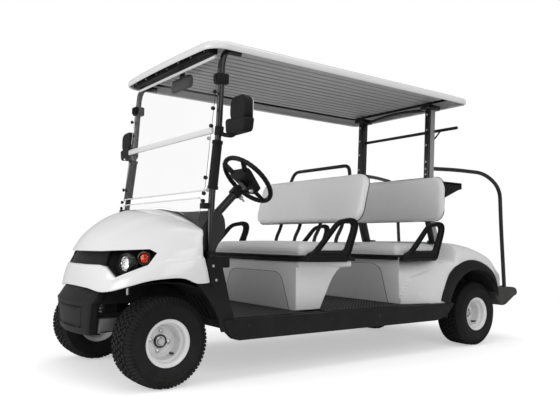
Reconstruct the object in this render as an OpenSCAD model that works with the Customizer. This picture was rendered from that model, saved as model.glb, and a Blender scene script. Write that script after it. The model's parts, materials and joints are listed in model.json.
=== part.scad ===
// Four-seat golf cart: steel ladder frame, moulded body, two forward-facing benches under a hard roof.
// X runs forward, Y to the left, Z up. The origin is on the ground, midway between the ends.

/* [Overall] */
// Distance between the front and rear axles
wheelbase = 2472; // [2200:1:3000]
// Front axle to the face of the bumper
front_reach = 335; // [310:1:420]
// Rear axle to the edge of the rear step
rear_reach = 563; // [540:1:700]
// Width over the side sills
body_w = 1190; // [1160:1:1430]
// Height of the roof's lower lip
roof_lip_z = 1760; // [1690:1:2120]
// Rise of the roof above its lip
roof_rise = 108; // [70:1:140]

/* [Wheels] */
// Tyre outside diameter
tyre_d = 457; // [440:1:480]
// Tyre width
tyre_w = 215; // [180:1:220]
// Diameter of the rim at the tyre's bead
bead_d = 204; // [196:1:212]
// Distance between the front wheels' middles
front_track = 954; // [940:1:1060]
// Distance between the rear wheels' middles
rear_track = 980; // [960:1:1060]
// Wheel middle to the kingpin, seen from the front
kingpin_inset = 132; // [126:1:140]
// Radius of the stub axles
stub_r = 12.5; // [10:0.5:14]
// Radial clearance of the turning fits
run_fit = 0.05; // [0.02:0.01:0.1]
// Pitch circle of the wheel nuts
nut_pcd = 101.6; // [98:0.1:108]

/* [Frame] */
// Middle of each frame rail, from the centre line
rail_y = 210; // [190:1:220]
// Width of a frame rail
rail_w = 50; // [40:1:60]
// Bottom of the frame rails
rail_z = 255; // [252:1:262]
// Height of a frame rail
rail_h = 50; // [44:1:60]
// Thickness of the floor plate
floor_t = 10; // [6:1:14]
// Thickness of the floor mat
mat_t = 9; // [5:1:12]
// Height of the sills below the mat's top
sill_h = 112; // [90:1:120]
// Width of a sill
sill_w = 55; // [45:1:65]

/* [Body shells] */
// Wall of the moulded panels
wall = 4; // [3:0.5:6]
// Distance of the front cowl inside the sills' outer faces
cowl_inset = 2; // [0:1:30]
// Front axle back to the cowl's rear edge
cowl_back = 217; // [200:1:232]
// Height of the cowl's crest
cowl_top_z = 916; // [880:1:960]
// Distance of the rear body inside the sills' outer faces
tail_inset = 12; // [0:1:30]
// Height of the rear deck
deck_z = 752; // [720:1:790]

/* [Seats] */
// Front axle back to the front seat box
seat_front = 896; // [860:1:940]
// Step from the front bench to the rear bench
seat_pitch = 825; // [800:1:1000]
// Half width of a seat box
seat_box_half = 447; // [400:1:460]
// Width of a cushion
cushion_w = 1040; // [980:1:1060]
// Depth of a cushion
cushion_l = 430; // [400:1:445]
// Thickness of a cushion
cushion_h = 94; // [70:1:100]
// Bottom of the cushions
cushion_z = 648; // [640:1:660]
// Width of the backrests
back_w = 1180; // [1080:1:1200]
// Height of the backrests
back_h = 322; // [280:1:340]
// Thickness of the backrests
back_t = 76; // [60:1:80]

/* [Posts] */
// Radius of the front posts
pillar_r = 16; // [13:0.5:18]
// Distance of the front posts inside the sills' outer faces, at the cowl
pillar_inset = 33; // [20:1:50]
// Half distance between the rear posts
post_y = 355; // [330:1:380]
// Radius of the handrails
rail_r = 15; // [12:0.5:17]
// Steering wheel radius, to the middle of its grip
wheel_r = 172; // [150:1:180]

/* [Hidden] */
$fn = 48;

touch = 0.3;
wheel_z = tyre_d / 2;
front_x = (wheelbase + rear_reach - front_reach) / 2;
rear_x = front_x - wheelbase;
bump_x = front_x + front_reach;
step_x = rear_x - rear_reach;
sill_y = body_w / 2;
cowl_half_w = sill_y - cowl_inset;
tail_half_w = sill_y - tail_inset;
pillar_y = sill_y - pillar_inset;
floor_z = rail_z + rail_h + touch;
mat_z = floor_z + floor_t;
top_z = mat_z + mat_t;
sill_z = top_z - sill_h;
kingpin_y = front_track / 2 - kingpin_inset;
strut_y = kingpin_y - 72;
foot_x = front_x - 345;
box_x = front_x - seat_front;
box_foot = 190;
tail_x = box_x - seat_pitch - 47;
pan_z = 622;
pan_t = cushion_z - pan_z - touch;
screen_x = front_x - 185;
screen_lean = 5.5;
screen_z = 862;
screen_half = pillar_y - 17;
screen_t = 5;
column_lean = 44.7;
column_y = 263;
column_x = front_x - 657;
column_z = 1109;
post_x = rear_x + 250;
roof_front_x = front_x - 191;
roof_back_x = rear_x + 95;
roof_half = body_w / 2 - 5;
liner_z = roof_lip_z + 14;
hip_y = body_w / 2 + 13;
leg_y = sill_y - 60;

function unit(v) = v / norm(v);
function mix(a, b, t) = a + (b - a) * t;
function ease(t) = let (c = min(1, max(0, t))) c * c * (3 - 2 * c);
function power(v, e) = sign(v) * pow(abs(v), e);

// Points round a corner, between the two straight runs that meet at v
function corner(a, v, b, d, k) = [
    for (i = [0:k])
        let (t = i / k, p = v + d * unit(a - v), q = v + d * unit(b - v))
        (1 - t) * (1 - t) * p + 2 * t * (1 - t) * v + t * t * q
];
function eased(pts, d, k = 5) = [
    pts[0],
    for (i = [1:len(pts) - 2])
        let (room = min(norm(pts[i - 1] - pts[i]), norm(pts[i + 1] - pts[i])) / 2.02)
        each corner(pts[i - 1], pts[i], pts[i + 1], min(d, room), k),
    pts[len(pts) - 1]
];
function ring_eased(pts, d, k = 5) = [
    for (i = [0:len(pts) - 1])
        let (a = pts[(i + len(pts) - 1) % len(pts)], b = pts[(i + 1) % len(pts)])
        let (room = min(norm(a - pts[i]), norm(b - pts[i])) / 2.02)
        each corner(a, pts[i], b, min(d, room), k)
];

// A round bar along a path; ref is a direction that no stretch runs along
module pipe(path, r, ref = [0, 1, 0], sides = 12, closed = false) {
    n = len(path);
    function spot(i) = path[closed ? (i + n) % n : min(n - 1, max(0, i))];
    rings = [
        for (i = [0:n - 1])
            let (t = unit(spot(i + 1) - spot(i - 1)), s = unit(cross(t, ref)), u = cross(s, t))
            for (j = [0:sides - 1])
                path[i] + r * (cos(360 * j / sides) * s + sin(360 * j / sides) * u)
    ];
    skins = [
        for (i = [0:closed ? n - 1 : n - 2], j = [0:sides - 1])
            let (k = (j + 1) % sides, m = (i + 1) % n)
            each [[i * sides + j, i * sides + k, m * sides + k],
                [i * sides + j, m * sides + k, m * sides + j]]
    ];
    ends = closed ? [] : [
        [for (j = [sides - 1:-1:0]) j],
        [for (j = [0:sides - 1]) (n - 1) * sides + j]
    ];
    polyhedron(rings, concat(skins, ends));
}

// A wall between two grids of points that have the same rows and columns
module grid_wall(outer, inner) {
    rows = len(outer);
    cols = len(outer[0]);
    all = concat([for (r = outer) each r], [for (r = inner) each r]);
    m = rows * cols;
    function quad(a, b, c, d) = [[a, b, c], [a, c, d]];
    skins = [
        for (i = [0:rows - 2], j = [0:cols - 2])
            let (a = i * cols + j, b = a + cols)
            each concat(quad(a, a + 1, b + 1, b), quad(m + a, m + b, m + b + 1, m + a + 1))
    ];
    ends = [
        for (j = [0:cols - 2])
            let (e = (rows - 1) * cols + j)
            each concat(quad(j + 1, j, m + j, m + j + 1), quad(e, e + 1, m + e + 1, m + e))
    ];
    edges = [
        for (i = [0:rows - 2])
            let (a = i * cols, b = a + cols, e = a + cols - 1, f = e + cols)
            each concat(quad(a, b, m + b, m + a), quad(f, e, m + e, m + f))
    ];
    polyhedron(all, concat(skins, ends, edges));
}

// A plate whose outline lies in X and Z, between two sideways planes
module side_plate(pts, y0, y1) {
    translate([0, y1, 0]) rotate([90, 0, 0]) linear_extrude(y1 - y0) polygon(pts);
}

module block(low, high) {
    translate(low) cube(high - low);
}

module both_sides() {
    children();
    mirror([0, 1, 0]) children();
}

// A round-edged box, for soft and moulded pieces
module soft_box(low, high, r) {
    mid = (low + high) / 2;
    half = (high - low) / 2;
    steps = 4;
    sides = 4 * (steps + 1);
    // One ring round the box, moved in and set at a height
    function ring(inset, z) = [
        for (q = [0:3], i = [0:steps])
            let (a = 90 * q + 90 * i / steps, sx = q == 0 || q == 3 ? 1 : -1, sy = q < 2 ? 1 : -1,
                c = r * 1.2)
            [mid[0] + sx * (half[0] - c) + (c - inset) * cos(a), mid[1] + sy * (half[1] - c)
                + (c - inset) * sin(a), z]
    ];
    levels = concat(
        [for (i = [0:steps]) [r * (1 - sin(90 * i / steps)), low[2] + r * (1 - cos(90 * i / steps))]],
        [for (i = [steps:-1:0]) [r * (1 - sin(90 * i / steps)), high[2] - r * (1 - cos(90 * i / steps))]]);
    points = [for (l = levels) each ring(l[0], l[1])];
    n = len(levels);
    skins = [
        for (i = [0:n - 2], j = [0:sides - 1])
            let (k = (j + 1) % sides)
            each [[i * sides + j, (i + 1) * sides + k, i * sides + k], [i * sides + j, (i + 1)
                * sides + j, (i + 1) * sides + k]]
    ];
    polyhedron(points, concat(skins, [[for (j = [0:sides - 1]) j], [for (j = [sides - 1:-1:0]) (n - 1)
        * sides + j]]));
}

// ---- Frame and running gear ----

module chassis() {
    back_end = rear_x - 300;
    front_end = front_x + 205;
    color("dimgray") {
        both_sides() block([back_end, rail_y - rail_w / 2, rail_z], [front_end, rail_y + rail_w / 2,
            rail_z + rail_h]);
        for (x = [back_end, rear_x + 262, tail_x - 20, box_x - 150, foot_x - 30])
            block([x, -rail_y, rail_z + 5], [x + 45, rail_y, rail_z + rail_h - 5]);
        block([front_end - 40, -rail_y - 20, rail_z], [front_end + 5, rail_y + 20, rail_z + 70]);
        both_sides() block([back_end, rail_y - 25, rail_z + rail_h - 1], [back_end + 12, rail_y + 25, 401]);
        for (x = [tail_x + 40, box_x - 300, foot_x - 60])
            both_sides() block([x, rail_y, rail_z + 8], [x + 40, sill_y - sill_w - touch, rail_z + rail_h]);
        both_sides() block([front_x - 38, rail_y - 20, rail_z], [front_x + 38, rail_y + 20, wheel_z + 172]);
        both_sides() block([front_x - 38, rail_y - 20, wheel_z + 172], [front_x + 38, strut_y + 26,
            wheel_z + 182]);
    }
}

module floor_plate() {
    color("gray")
        block([rear_x + 262, -sill_y + sill_w + touch, floor_z], [foot_x, sill_y - sill_w - touch,
            mat_z - touch]);
}

module floor_mat() {
    edge = sill_y - sill_w - 6;
    color("black") {
        block([box_x + 3, -edge, mat_z], [foot_x - 12, edge, top_z]);
        block([tail_x + 3, -edge, mat_z], [box_x - box_foot - 3, edge, top_z]);
    }
}

module side_sills() {
    front = front_x - 300;
    back = rear_x + 263;
    outline = ring_eased([[front, top_z], [front - 30, sill_z + 52], [front - 84, sill_z],
        [back + 195, sill_z], [back + 90, sill_z + 25], [back, top_z]], 22, 4);
    color("black") both_sides() side_plate(outline, sill_y - sill_w, sill_y);
}

module front_axle() {
    ear = 12;
    gap = 33;
    color("dimgray") {
        block([front_x - 24, -kingpin_y + 34, wheel_z - 20], [front_x + 24, kingpin_y - 34, wheel_z + 20]);
        both_sides() {
            block([front_x - 22, kingpin_y - 60, wheel_z - gap - ear], [front_x + 22, kingpin_y - 34,
                wheel_z + gap + ear]);
            for (z = [wheel_z - gap - ear, wheel_z + gap]) {
                block([front_x - 22, kingpin_y - 60, z], [front_x + 22, kingpin_y, z + ear]);
                translate([front_x, kingpin_y, z]) cylinder(h = ear, r = 22);
            }
            translate([front_x, kingpin_y, wheel_z - 50]) cylinder(h = 100, r = 9);
        }
    }
    spring_struts();
}

module spring_struts() {
    low = wheel_z + 20 + touch;
    high = wheel_z + 172 - touch;
    color("silver") both_sides() translate([front_x, strut_y, low]) {
        cylinder(h = high - low, r = 14);
        translate([0, 0, 20]) cylinder(h = high - low - 36, r = 26);
    }
}

arm = 110;
module knuckle() {
    translate([front_x, kingpin_y, wheel_z]) difference() {
        union() {
            translate([0, 0, -32]) cylinder(h = 64, r = 19);
            rotate([-90, 0, 0]) cylinder(h = kingpin_inset - 42, r = 17);
            rotate([-90, 0, 0]) cylinder(h = kingpin_inset + 8, r = stub_r);
            block([-arm, -8, -26], [-10, 8, -12]);
            translate([-arm, 0, -26]) cylinder(h = 14, r = 13);
            translate([-arm, 0, -50]) cylinder(h = 30, r = 6);
        }
        translate([0, 0, -40]) cylinder(h = 80, r = 9 + run_fit);
    }
}
module knuckle_left() {
    color("dimgray") knuckle();
}
module knuckle_right() {
    color("dimgray") mirror([0, 1, 0]) knuckle();
}

module tie_rod() {
    x = front_x - arm;
    z = wheel_z - 47;
    color("silver") difference() {
        union() {
            both_sides() translate([x, kingpin_y, z]) cylinder(h = 19, r = 14);
            translate([x, -kingpin_y + 10, z + 9]) rotate([-90, 0, 0]) cylinder(h = 2 * kingpin_y - 20,
                r = 8);
        }
        both_sides() translate([x, kingpin_y, z - 1]) cylinder(h = 21, r = 6 + run_fit);
    }
}

module rear_axle() {
    half = rear_track / 2;
    color("dimgray") translate([rear_x, 0, wheel_z]) {
        translate([0, -half + 62, 0]) rotate([-90, 0, 0]) cylinder(h = 2 * half - 124, r = 25);
        translate([0, -60, 0]) rotate([-90, 0, 0]) cylinder(h = 120, r = 78);
        translate([0, -half - 8, 0]) rotate([-90, 0, 0]) cylinder(h = 2 * half + 16, r = stub_r);
    }
    leaf_springs();
}

module leaf_springs() {
    reach = 265;
    low = wheel_z - 40;
    // Height of the leaf's middle line at a distance from the axle
    function sag(d) = low + (rail_z - 7 - touch - low) * pow(d / reach, 2);
    steps = [for (i = [-8:8]) reach * i / 8];
    leaf = concat([for (d = steps) [rear_x + d, sag(d) - 7]], [for (i = [16:-1:0]) [rear_x + steps[i],
        sag(steps[i]) + 7]]);
    color("dimgray") both_sides() {
        side_plate(leaf, rail_y - 22, rail_y + 22);
        block([rear_x - 22, rail_y - 24, low + 3], [rear_x + 22, rail_y + 24, wheel_z - 25 - touch]);
    }
}

module drive_motor() {
    color("gray") translate([rear_x + 162, -90, wheel_z + 12]) rotate([-90, 0, 0]) cylinder(h = 220,
        r = 84);
}

module battery_pack() {
    color("darkslategray")
        block([rear_x + 265, -340, mat_z + touch], [tail_x - 40, 340, pan_z - 45]);
}

module tyre(x, y) {
    half = tyre_w / 2;
    r = tyre_d / 2;
    bead = bead_d / 2;
    color("black") translate([x, y, wheel_z]) rotate([-90, 0, 0]) rotate_extrude($fn = 96)
        polygon(concat(
            [[bead, -half + 21.5], [bead + 15.5, -half + 15.5], [bead + 16, -half + 9]],
            corner([bead + 16, -half + 9], [r * 0.7, -half - 3], [r, -half + 16], 30, 4),
            corner([r * 0.8, -half], [r, -half + 20], [r, 0], 22, 5),
            corner([r, 0], [r, half - 20], [r * 0.8, half], 22, 5),
            corner([r, half - 16], [r * 0.7, half + 3], [bead + 16, half - 9], 30, 4),
            [[bead + 16, half - 9], [bead + 15.5, half - 15.5], [bead, half - 21.5],
                [bead + 12, half - 34], [bead + 12, -half + 34]]));
}

// The rim's dish faces +Y
module rim(x, y, side) {
    seat = bead_d / 2 - touch;
    flange = tyre_w / 2 - 11;
    color("white") translate([x, y, wheel_z]) scale([1, side, 1]) rotate([-90, 0, 0]) difference() {
        rotate_extrude($fn = 96) polygon([[0, 12], [0, 44], [20, 44], [27, 38], [27, 30], [48, 30],
            [62, 24], [78, 30],
            [84, 44], [84, flange - 14], [100, flange - 4], [113, flange], [117, flange], [117, flange - 3],
            [seat, flange - 9], [seat, -flange + 9], [117, -flange + 3], [117, -flange], [113, -flange],
            [96, -flange + 8], [92, -flange + 30], [88, 10], [80, 20], [60, 16], [42, 16], [42, -34],
                [28, -40],
            [0, -40]]);
        translate([0, 0, -42]) cylinder(h = 52, r = stub_r + run_fit);
        for (a = [45:90:315]) rotate(a) translate([nut_pcd / 2, 0, 10]) cylinder(h = 30, r = 6.5, $fn = 24);
    }
}

module tyre_front_left() { tyre(front_x, front_track / 2); }
module tyre_front_right() { tyre(front_x, -front_track / 2); }
module tyre_rear_left() { tyre(rear_x, rear_track / 2); }
module tyre_rear_right() { tyre(rear_x, -rear_track / 2); }
module rim_front_left() { rim(front_x, front_track / 2, 1); }
module rim_front_right() { rim(front_x, -front_track / 2, -1); }
module rim_rear_left() { rim(rear_x, rear_track / 2, 1); }
module rim_rear_right() { rim(rear_x, -rear_track / 2, -1); }

// ---- Front body ----

// A point of the cowl's skin: turn runs round the nose from -90 to 90, rise from 0 at the lower edge to 90
// at the crest, and inward is how far the point lies inside the skin
function cowl_nose() = cowl_back + 300;
function cowl_edge_z(x) = max(487, 549 - 0.0011 * pow(x - front_x + 20, 2));
function cowl_point(turn, rise, inward) =
    let (
        e = 2 / 2.5,
        ox = front_x - cowl_back + (cowl_nose() - inward) * power(cos(turn), e),
        oy = (cowl_half_w - inward) * power(sin(turn), e),
        ry = (cowl_half_w - 60 - inward) * sin(turn),
        rx = front_x - cowl_back + 39 - 37 * pow(ry / cowl_half_w, 2),
        low = cowl_edge_z(ox),
        rz = cowl_top_z - inward - 0.00041 * ry * ry,
        g = power(cos(rise), 2 / 2.4),
        h = power(sin(rise), 2 / 2.4)
    )
    [mix(rx, ox, g), mix(ry, oy, g), mix(low, rz, h)];

// A patch of the cowl's skin
module cowl_patch(turns, rises, out, inward) {
    grid_wall(
        [for (t = turns) [for (r = rises) cowl_point(t, r, out)]],
        [for (t = turns) [for (r = rises) cowl_point(t, r, inward)]]);
}

module front_cowl() {
    color("white") cowl_patch([for (i = [-14:14]) -i * 90 / 14], [for (i = [0:14]) 90 * i / 14], 0, wall);
}

// The grille's band between the two lamp pods
module nose_panel() {
    color("black") {
        cowl_patch([for (i = [-6:6]) -i * 5], [for (i = [0:4]) 12 + i * 2.6], -9, -1.2);
        for (s = [-1, 1])
            cowl_patch([for (i = [0:6]) s * 47 - i * 5 + 15], [for (i = [0:4]) 6 + i * 4], -9, -1.2);
    }
}

module front_bumper() {
    curve = [for (i = [-8:8]) [bump_x - 48 * pow(i / 8, 2), 275 * i / 8]];
    back = [for (i = [8:-1:-8]) [bump_x - 26 - 48 * pow(i / 8, 2), 275 * i / 8]];
    color("black") {
        translate([0, 0, 235]) linear_extrude(195) polygon(concat(curve, back));
        both_sides() block([front_x + 210 + touch, 90, 262], [bump_x - 40, 130, 320]);
        both_sides() block([bump_x - 45, 90, 262], [bump_x - 22, 130, 320]);
    }
}

module dashboard() {
    x = front_x - cowl_back - 6;
    both = [1, -1];
    module form(inset) {
        hull() {
            for (s = both)
                translate([x - 62 + inset, s > 0 ? cowl_half_w - 80 - inset
                    : -cowl_half_w + 55 + inset, 640 - inset * 3])
                    cube([62, 25, 120 + inset * 2]);
            translate([x - 235 + inset, -330 + inset, 700 - inset * 3]) cube([235, 660 - 2 * inset,
                165 + inset * 2]);
            translate([x - 110 + inset, -330, 640 - inset * 3]) cube([100, 660, 20]);
        }
    }
    color("black") difference() {
        form(0);
        form(5);
        at_column() translate([0, 0, -360]) cylinder(h = 80, r = 46 + touch);
    }
}

module bulkhead() {
    x = front_x;
    outline = [[x - 227, 640 - touch], [x - 222, 640 - touch], [x - 222, 500], [x - 280, 405],
        [x - 348, mat_z],
        [x - 354, mat_z], [x - 286, 405], [x - 227, 502]];
    color("black") {
        side_plate(outline, -sill_y + sill_w + 6, sill_y - sill_w - 6);
        both_sides() block([x - 247, sill_y - sill_w - 20, 508], [x - 222, pillar_y + 16, 560 - touch]);
        both_sides() block([x - 247, pillar_y, 516], [x - 205, cowl_half_w - wall - 2 * touch, 540]);
    }
}

module pedals() {
    color("black") for (y = [185, 330]) {
        side_plate([[front_x - 352, 420], [front_x - 343, 425], [front_x - 384, 350], [front_x - 392,
            354]], y - 30, y + 30);
        side_plate([[front_x - 271.2, 430], [front_x - 278.4, 418], [front_x - 355, 402],
            [front_x - 350, 415]], y - 8, y + 8);
    }
}

// ---- Steering ----

module at_column() {
    translate([column_x, column_y, column_z]) rotate([0, -column_lean, 0]) children();
}

module steering_column() {
    color("black") at_column() difference() {
        union() {
            translate([0, 0, -315]) cylinder(h = 215, r = 24);
            translate([0, 0, -345]) cylinder(h = 40, r = 46);
        }
        translate([0, 0, -200]) cylinder(h = 110, r = 10 + run_fit);
    }
}

module steering_wheel() {
    color("black") at_column() {
        rotate_extrude($fn = 72) translate([wheel_r, 0]) circle(14, $fn = 32);
        translate([0, 0, -190]) cylinder(h = 150, r = 10);
        translate([0, 0, -60]) cylinder(h = 48, r = 40);
        for (a = [60, 180, 300]) rotate(a) {
            translate([20, -11, -30]) cube([wheel_r - 30, 22, 14]);
            translate([wheel_r - 24, -11, -30]) cube([22, 22, 30]);
        }
    }
}

// ---- Posts, screen and roof ----

function pillar_path() = eased([
    [front_x - 234, pillar_y, 560], [front_x - 232, pillar_y, 720], [front_x - 240, pillar_y - 6, 975],
    [front_x - 281, pillar_y - 14, 1329], [front_x - 299, pillar_y - 24, roof_lip_z - 60],
    [front_x - 322, pillar_y - 28, liner_z - pillar_r - touch], [front_x - 420, pillar_y - 32,
        liner_z - pillar_r - touch]], 60, 4);

module front_posts() {
    color("black") both_sides() pipe(pillar_path(), pillar_r);
}

module at_screen() {
    translate([screen_x, 0, screen_z]) rotate([0, -screen_lean, 0]) children();
}

module windscreen() {
    top = (roof_lip_z - 18 - screen_z) / cos(screen_lean);
    crest = [for (i = [-10:10]) let (y = i * (screen_half - 115) / 10) [y, max(12, 82 - 0.0004 * y * y)]];
    outline = concat(crest, [[screen_half, 6], [screen_half, top], [-screen_half, top], [-screen_half, 6]]);
    bar_z = (1327 - screen_z) / cos(screen_lean);
    color("lightcyan", 0.4) at_screen() rotate([90, 0, 90]) linear_extrude(screen_t) polygon(outline);
    color("gainsboro") at_screen() block([screen_t + touch, -screen_half, bar_z - 14], [screen_t + 10,
        screen_half, bar_z + 14]);
    // Clamps between the pane and the posts: height, and the post's front face behind the axle
    color("black") both_sides() for (c = [[930, 221], [1329, 263], [1600, 277]])
        block([front_x - c[1] + touch, pillar_y - 42, c[0] - 18],
            [screen_x - (c[0] - screen_z + 18) * tan(screen_lean) - touch, pillar_y - 4, c[0] + 18]);
}

module roof_slab(inset, low, high) {
    corner_r = 150;
    hull() {
        for (x = [roof_back_x + corner_r, roof_front_x - corner_r], y = [-1, 1])
            translate([x, y * (roof_half - corner_r), low]) cylinder(h = 30, r = corner_r - inset,
                $fn = 32);
        for (x = [roof_back_x + corner_r + 20, roof_front_x - corner_r - 130], y = [-1, 1])
            translate([x, y * (roof_half - corner_r - 30), low]) cylinder(h = (high - low) * 0.8,
                r = corner_r - 20 - inset, $fn = 32);
        for (x = [roof_back_x + corner_r + 180, roof_front_x - corner_r - 330], y = [-1, 1])
            translate([x, y * (roof_half - corner_r - 170), low]) cylinder(h = high - low,
                r = corner_r - 40 - inset, $fn = 32);
    }
}

module roof() {
    color("white") difference() {
        roof_slab(0, roof_lip_z, roof_lip_z + roof_rise);
        roof_slab(6, roof_lip_z - 10, roof_lip_z + roof_rise - 6);
    }
}

module roof_liner() {
    r = 110;
    edge = 30;
    color("silver") hull() for (x = [roof_back_x + edge + r, roof_front_x - edge - r], y = [-1, 1])
        translate([x, y * (roof_half - edge - r), liner_z]) cylinder(h = 14, r = r, $fn = 32);
}

// Middle line of a rear post, seen from the side
function post_path() = [[post_x - 50, deck_z + 6], [post_x + 4, 930], [post_x + 10, 1233],
    [post_x - 10, liner_z - touch]];

module rear_posts() {
    half = 34;
    foot_z = deck_at(post_x - 60, post_y - 45) + touch;
    path = post_path();
    outline = concat([for (p = path) p + [half, 0]], [for (i = [len(path) - 1:-1:0]) path[i] - [half, 0]]);
    color("black") both_sides() {
        side_plate(outline, post_y - 24, post_y + 24);
        block([post_x - 100, post_y - 45, foot_z], [post_x - 6, post_y + 24, deck_z + 8]);
    }
    color("black") {
        translate([post_x - 46, -sill_y + 13, 1578]) rotate([-90, 0, 0]) cylinder(h = 2 * sill_y - 26,
            r = 12);
        block([post_x - 26, -post_y, liner_z - 60], [post_x + 6, post_y, liner_z - touch]);
    }
}

module handrails() {
    path = eased([[post_x - 27, post_y + 8, 1300], [post_x - 60, post_y + 8, 1300], [post_x - 230,
        post_y + 55, 1302],
        [post_x - 500, post_y + 130, 1290], [step_x + 190, leg_y, 1180], [step_x + 178, leg_y, 900],
        [step_x + 141, leg_y, 430], [step_x + 141, leg_y, 408]], 150, 6);
    color("black") both_sides() pipe(path, rail_r);
}

module bag_bracket() {
    x = post_x - 25;
    depth = 340;
    color("black") {
        difference() {
            block([x - depth, -post_y - 20, 1196], [x, post_y + 20, 1212]);
            for (dx = [-depth + 50, -depth + 130], y = [-150, 150])
                translate([x + dx, y, 1190]) cylinder(h = 30, r = 4.5, $fn = 24);
        }
        both_sides() side_plate([[x, 1197], [x - depth, 1197], [x - depth + 10, 1170], [x - 110, 1075],
            [x - 2.5, 1075]],
            post_y - 10, post_y + 10);
    }
}

module mirrors() {
    x = front_x - 318;
    z = roof_lip_z - 92;
    color("black") {
        translate([x - 4, 0, 0]) rotate([90, 0, 90]) linear_extrude(26)
            polygon(ring_eased([[-70, z - 28], [190, z - 28], [190, z + 42], [-70, z + 42]], 16, 4));
        translate([x + 9, 60, z + 30]) cylinder(h = liner_z - z - 30 - touch, r = 7);
    }
    color("black") both_sides() {
        pipe(eased([[front_x - 281, pillar_y - 13.5 + pillar_r, 1322], [front_x - 281, pillar_y + 22, 1322],
            [x, pillar_y + 62, 1290], [x + 6, pillar_y + 100, 1294], [x + 11, pillar_y + 120, 1335]],
                16, 3), 9, [1, 0, 0]);
        soft_box([x - 22, pillar_y + 52, 1308], [x + 42, pillar_y + 243, 1478], 21);
    }
}

// ---- Seats ----

// Side outline of the front seat box, moved in by a wall's thickness
function box_outline(w) = [
    [box_x - w, mat_z], [box_x - w, pan_z - w - touch], [box_x - 390 + w, pan_z - w - touch],
    [box_x - 385 + w, pan_z - 40], [box_x - 335 + w, 560], [box_x - 240 + w, 490], [box_x - 180 + w, 400],
    [box_x - 160 + w, 350], [box_x - box_foot + w, mat_z]
];

module front_seat_box() {
    color("white") difference() {
        side_plate(box_outline(0), -seat_box_half, seat_box_half);
        translate([0, 0, -touch]) side_plate(box_outline(wall), -seat_box_half + wall,
            seat_box_half - wall);
    }
}

module seat_pans() {
    half = cushion_w / 2 + 30;
    module pan(x) {
        block([x - cushion_l - 50, -half, pan_z], [x + 20, half, pan_z + pan_t]);
        for (dx = [-80, -310])
            both_sides() block([x + dx, half - 1, pan_z], [x + dx + 40, hip_y - 13 - touch, pan_z + pan_t]);
    }
    color("black") {
        pan(box_x);
        pan(box_x - seat_pitch);
    }
}

module cushion(x) {
    soft_box([x - cushion_l + 30, -cushion_w / 2, cushion_z], [x + 30, cushion_w / 2,
        cushion_z + cushion_h], 20);
}
module front_cushion() {
    color("lightgray") cushion(box_x);
}
module rear_cushion() {
    color("lightgray") cushion(box_x - seat_pitch);
}

module backrest(x, z, lean, width) {
    translate([x, 0, z]) rotate([0, -lean, 0]) soft_box([-back_t, -width / 2, 0], [0, width / 2,
        back_h], 26);
}
module front_backrest() {
    color("lightgray") backrest(box_x - 380, 866, 13, back_w);
}
module rear_backrest() {
    color("lightgray") backrest(post_x + 44 + back_t, 892, 0, back_w - 40);
}

module backrest_hoop() {
    x = box_x - 380;
    r = 12.5;
    // Just behind the backrest at a height
    function behind(z) = x - (z - 866) * tan(13) - back_t / cos(13) - r - 2;
    side = [[x - 35, 332, cushion_z], [x - 35, 332, 760], [behind(840), 339, 840], [behind(1150), 336,
        1150],
        [behind(1262), 300, 1262]];
    path = eased(concat(side, [for (i = [len(side) - 1:-1:0]) [side[i][0], -side[i][1], side[i][2]]]),
        50, 4);
    color("black") {
        pipe(path, r, [1, 0, 0.2]);
        both_sides() pipe(eased([[x - 35, 110, cushion_z], [x - 35, 110, 760], [behind(840), 112, 840],
            [behind(1060), 114, 1060]], 40, 3), r);
    }
}

module hip_rails() {
    loop = [[20, 0], [-205, 222], [-265, 250], [-375, 252], [-420, 218], [-345, -22], [-330, -30], [0,
        -20]];
    module rail(x) {
        pts = [for (p = ring_eased(loop, 34, 3)) [x + p[0], hip_y, 645 + p[1]]];
        pipe(pts, 13, [0, 1, 0], 10, true);
    }
    color("black") both_sides() {
        rail(box_x);
        rail(box_x - seat_pitch);
    }
}

// ---- Rear body ----

arch_r = 320;
function tail_low(x) = x < rear_x - 260 ? 413
    : x < rear_x + 290 ? wheel_z + sqrt(arch_r * arch_r - pow(x - rear_x, 2)) : top_z + touch;
function tail_half(x) = mix(seat_box_half + 22, tail_half_w, ease((tail_x - x) / 230))
    - 40 * ease((rear_x - 220 - x) / 160);
function tail_high(x) = mix(pan_z - touch, deck_z, ease((rear_x + 248 - x) / 50))
    - 45 * ease((rear_x - 60 - x) / 160)
    - 150 * ease((rear_x - 200 - x) / 190);
// A section of the rear body, shrunk by a share towards the middle of its lower edge
function tail_section(x, in, n, share = 1) = [
    for (i = [0:n])
        let (a = 180 * i / n, c = -power(cos(a), 2 / 5.5), s = power(sin(a), 2 / 5.5))
        [x, (tail_half(x) - in) * c * share, mix(tail_low(x), tail_high(x) - in, s * share)]
];
function deck_at(x, y) = mix(tail_low(x), tail_high(x), pow(1 - pow(y / tail_half(x), 5.5), 1 / 5.5));

module rear_body() {
    back = rear_x - 375;
    fine = [for (d = [287:-26:-259]) rear_x + d];
    marks = concat([tail_x, tail_x - 60, tail_x - 120, tail_x - 190, rear_x + 350, rear_x + 292], fine,
        [rear_x - 262, rear_x - 300, rear_x - 340, back]);
    // The skin at a depth: its front and rear ends close towards the middle
    function skin(in) = concat(
        [for (f = [0.02, 0.4, 0.8]) tail_section(tail_x - in, in, 28, f)],
        [for (x = marks) tail_section(min(tail_x - in, max(back + in, x)), in, 28)],
        [for (f = [0.8, 0.4, 0.02]) tail_section(back + in, in, 28, f)]);
    color("white") grid_wall(skin(0), skin(wall));
}

module rear_flares() {
    inner = arch_r + 2;
    outer = arch_r + 76;
    arc = [for (a = [18:9:162]) a];
    ring = concat([for (a = arc) [rear_x + inner * cos(a), wheel_z + inner * sin(a)]],
        [for (i = [len(arc) - 1:-1:0]) [rear_x + outer * cos(arc[i]), wheel_z + outer * sin(arc[i])]]);
    color("black") both_sides() side_plate(ring, tail_half_w + touch, tail_half_w + 16);
}

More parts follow.
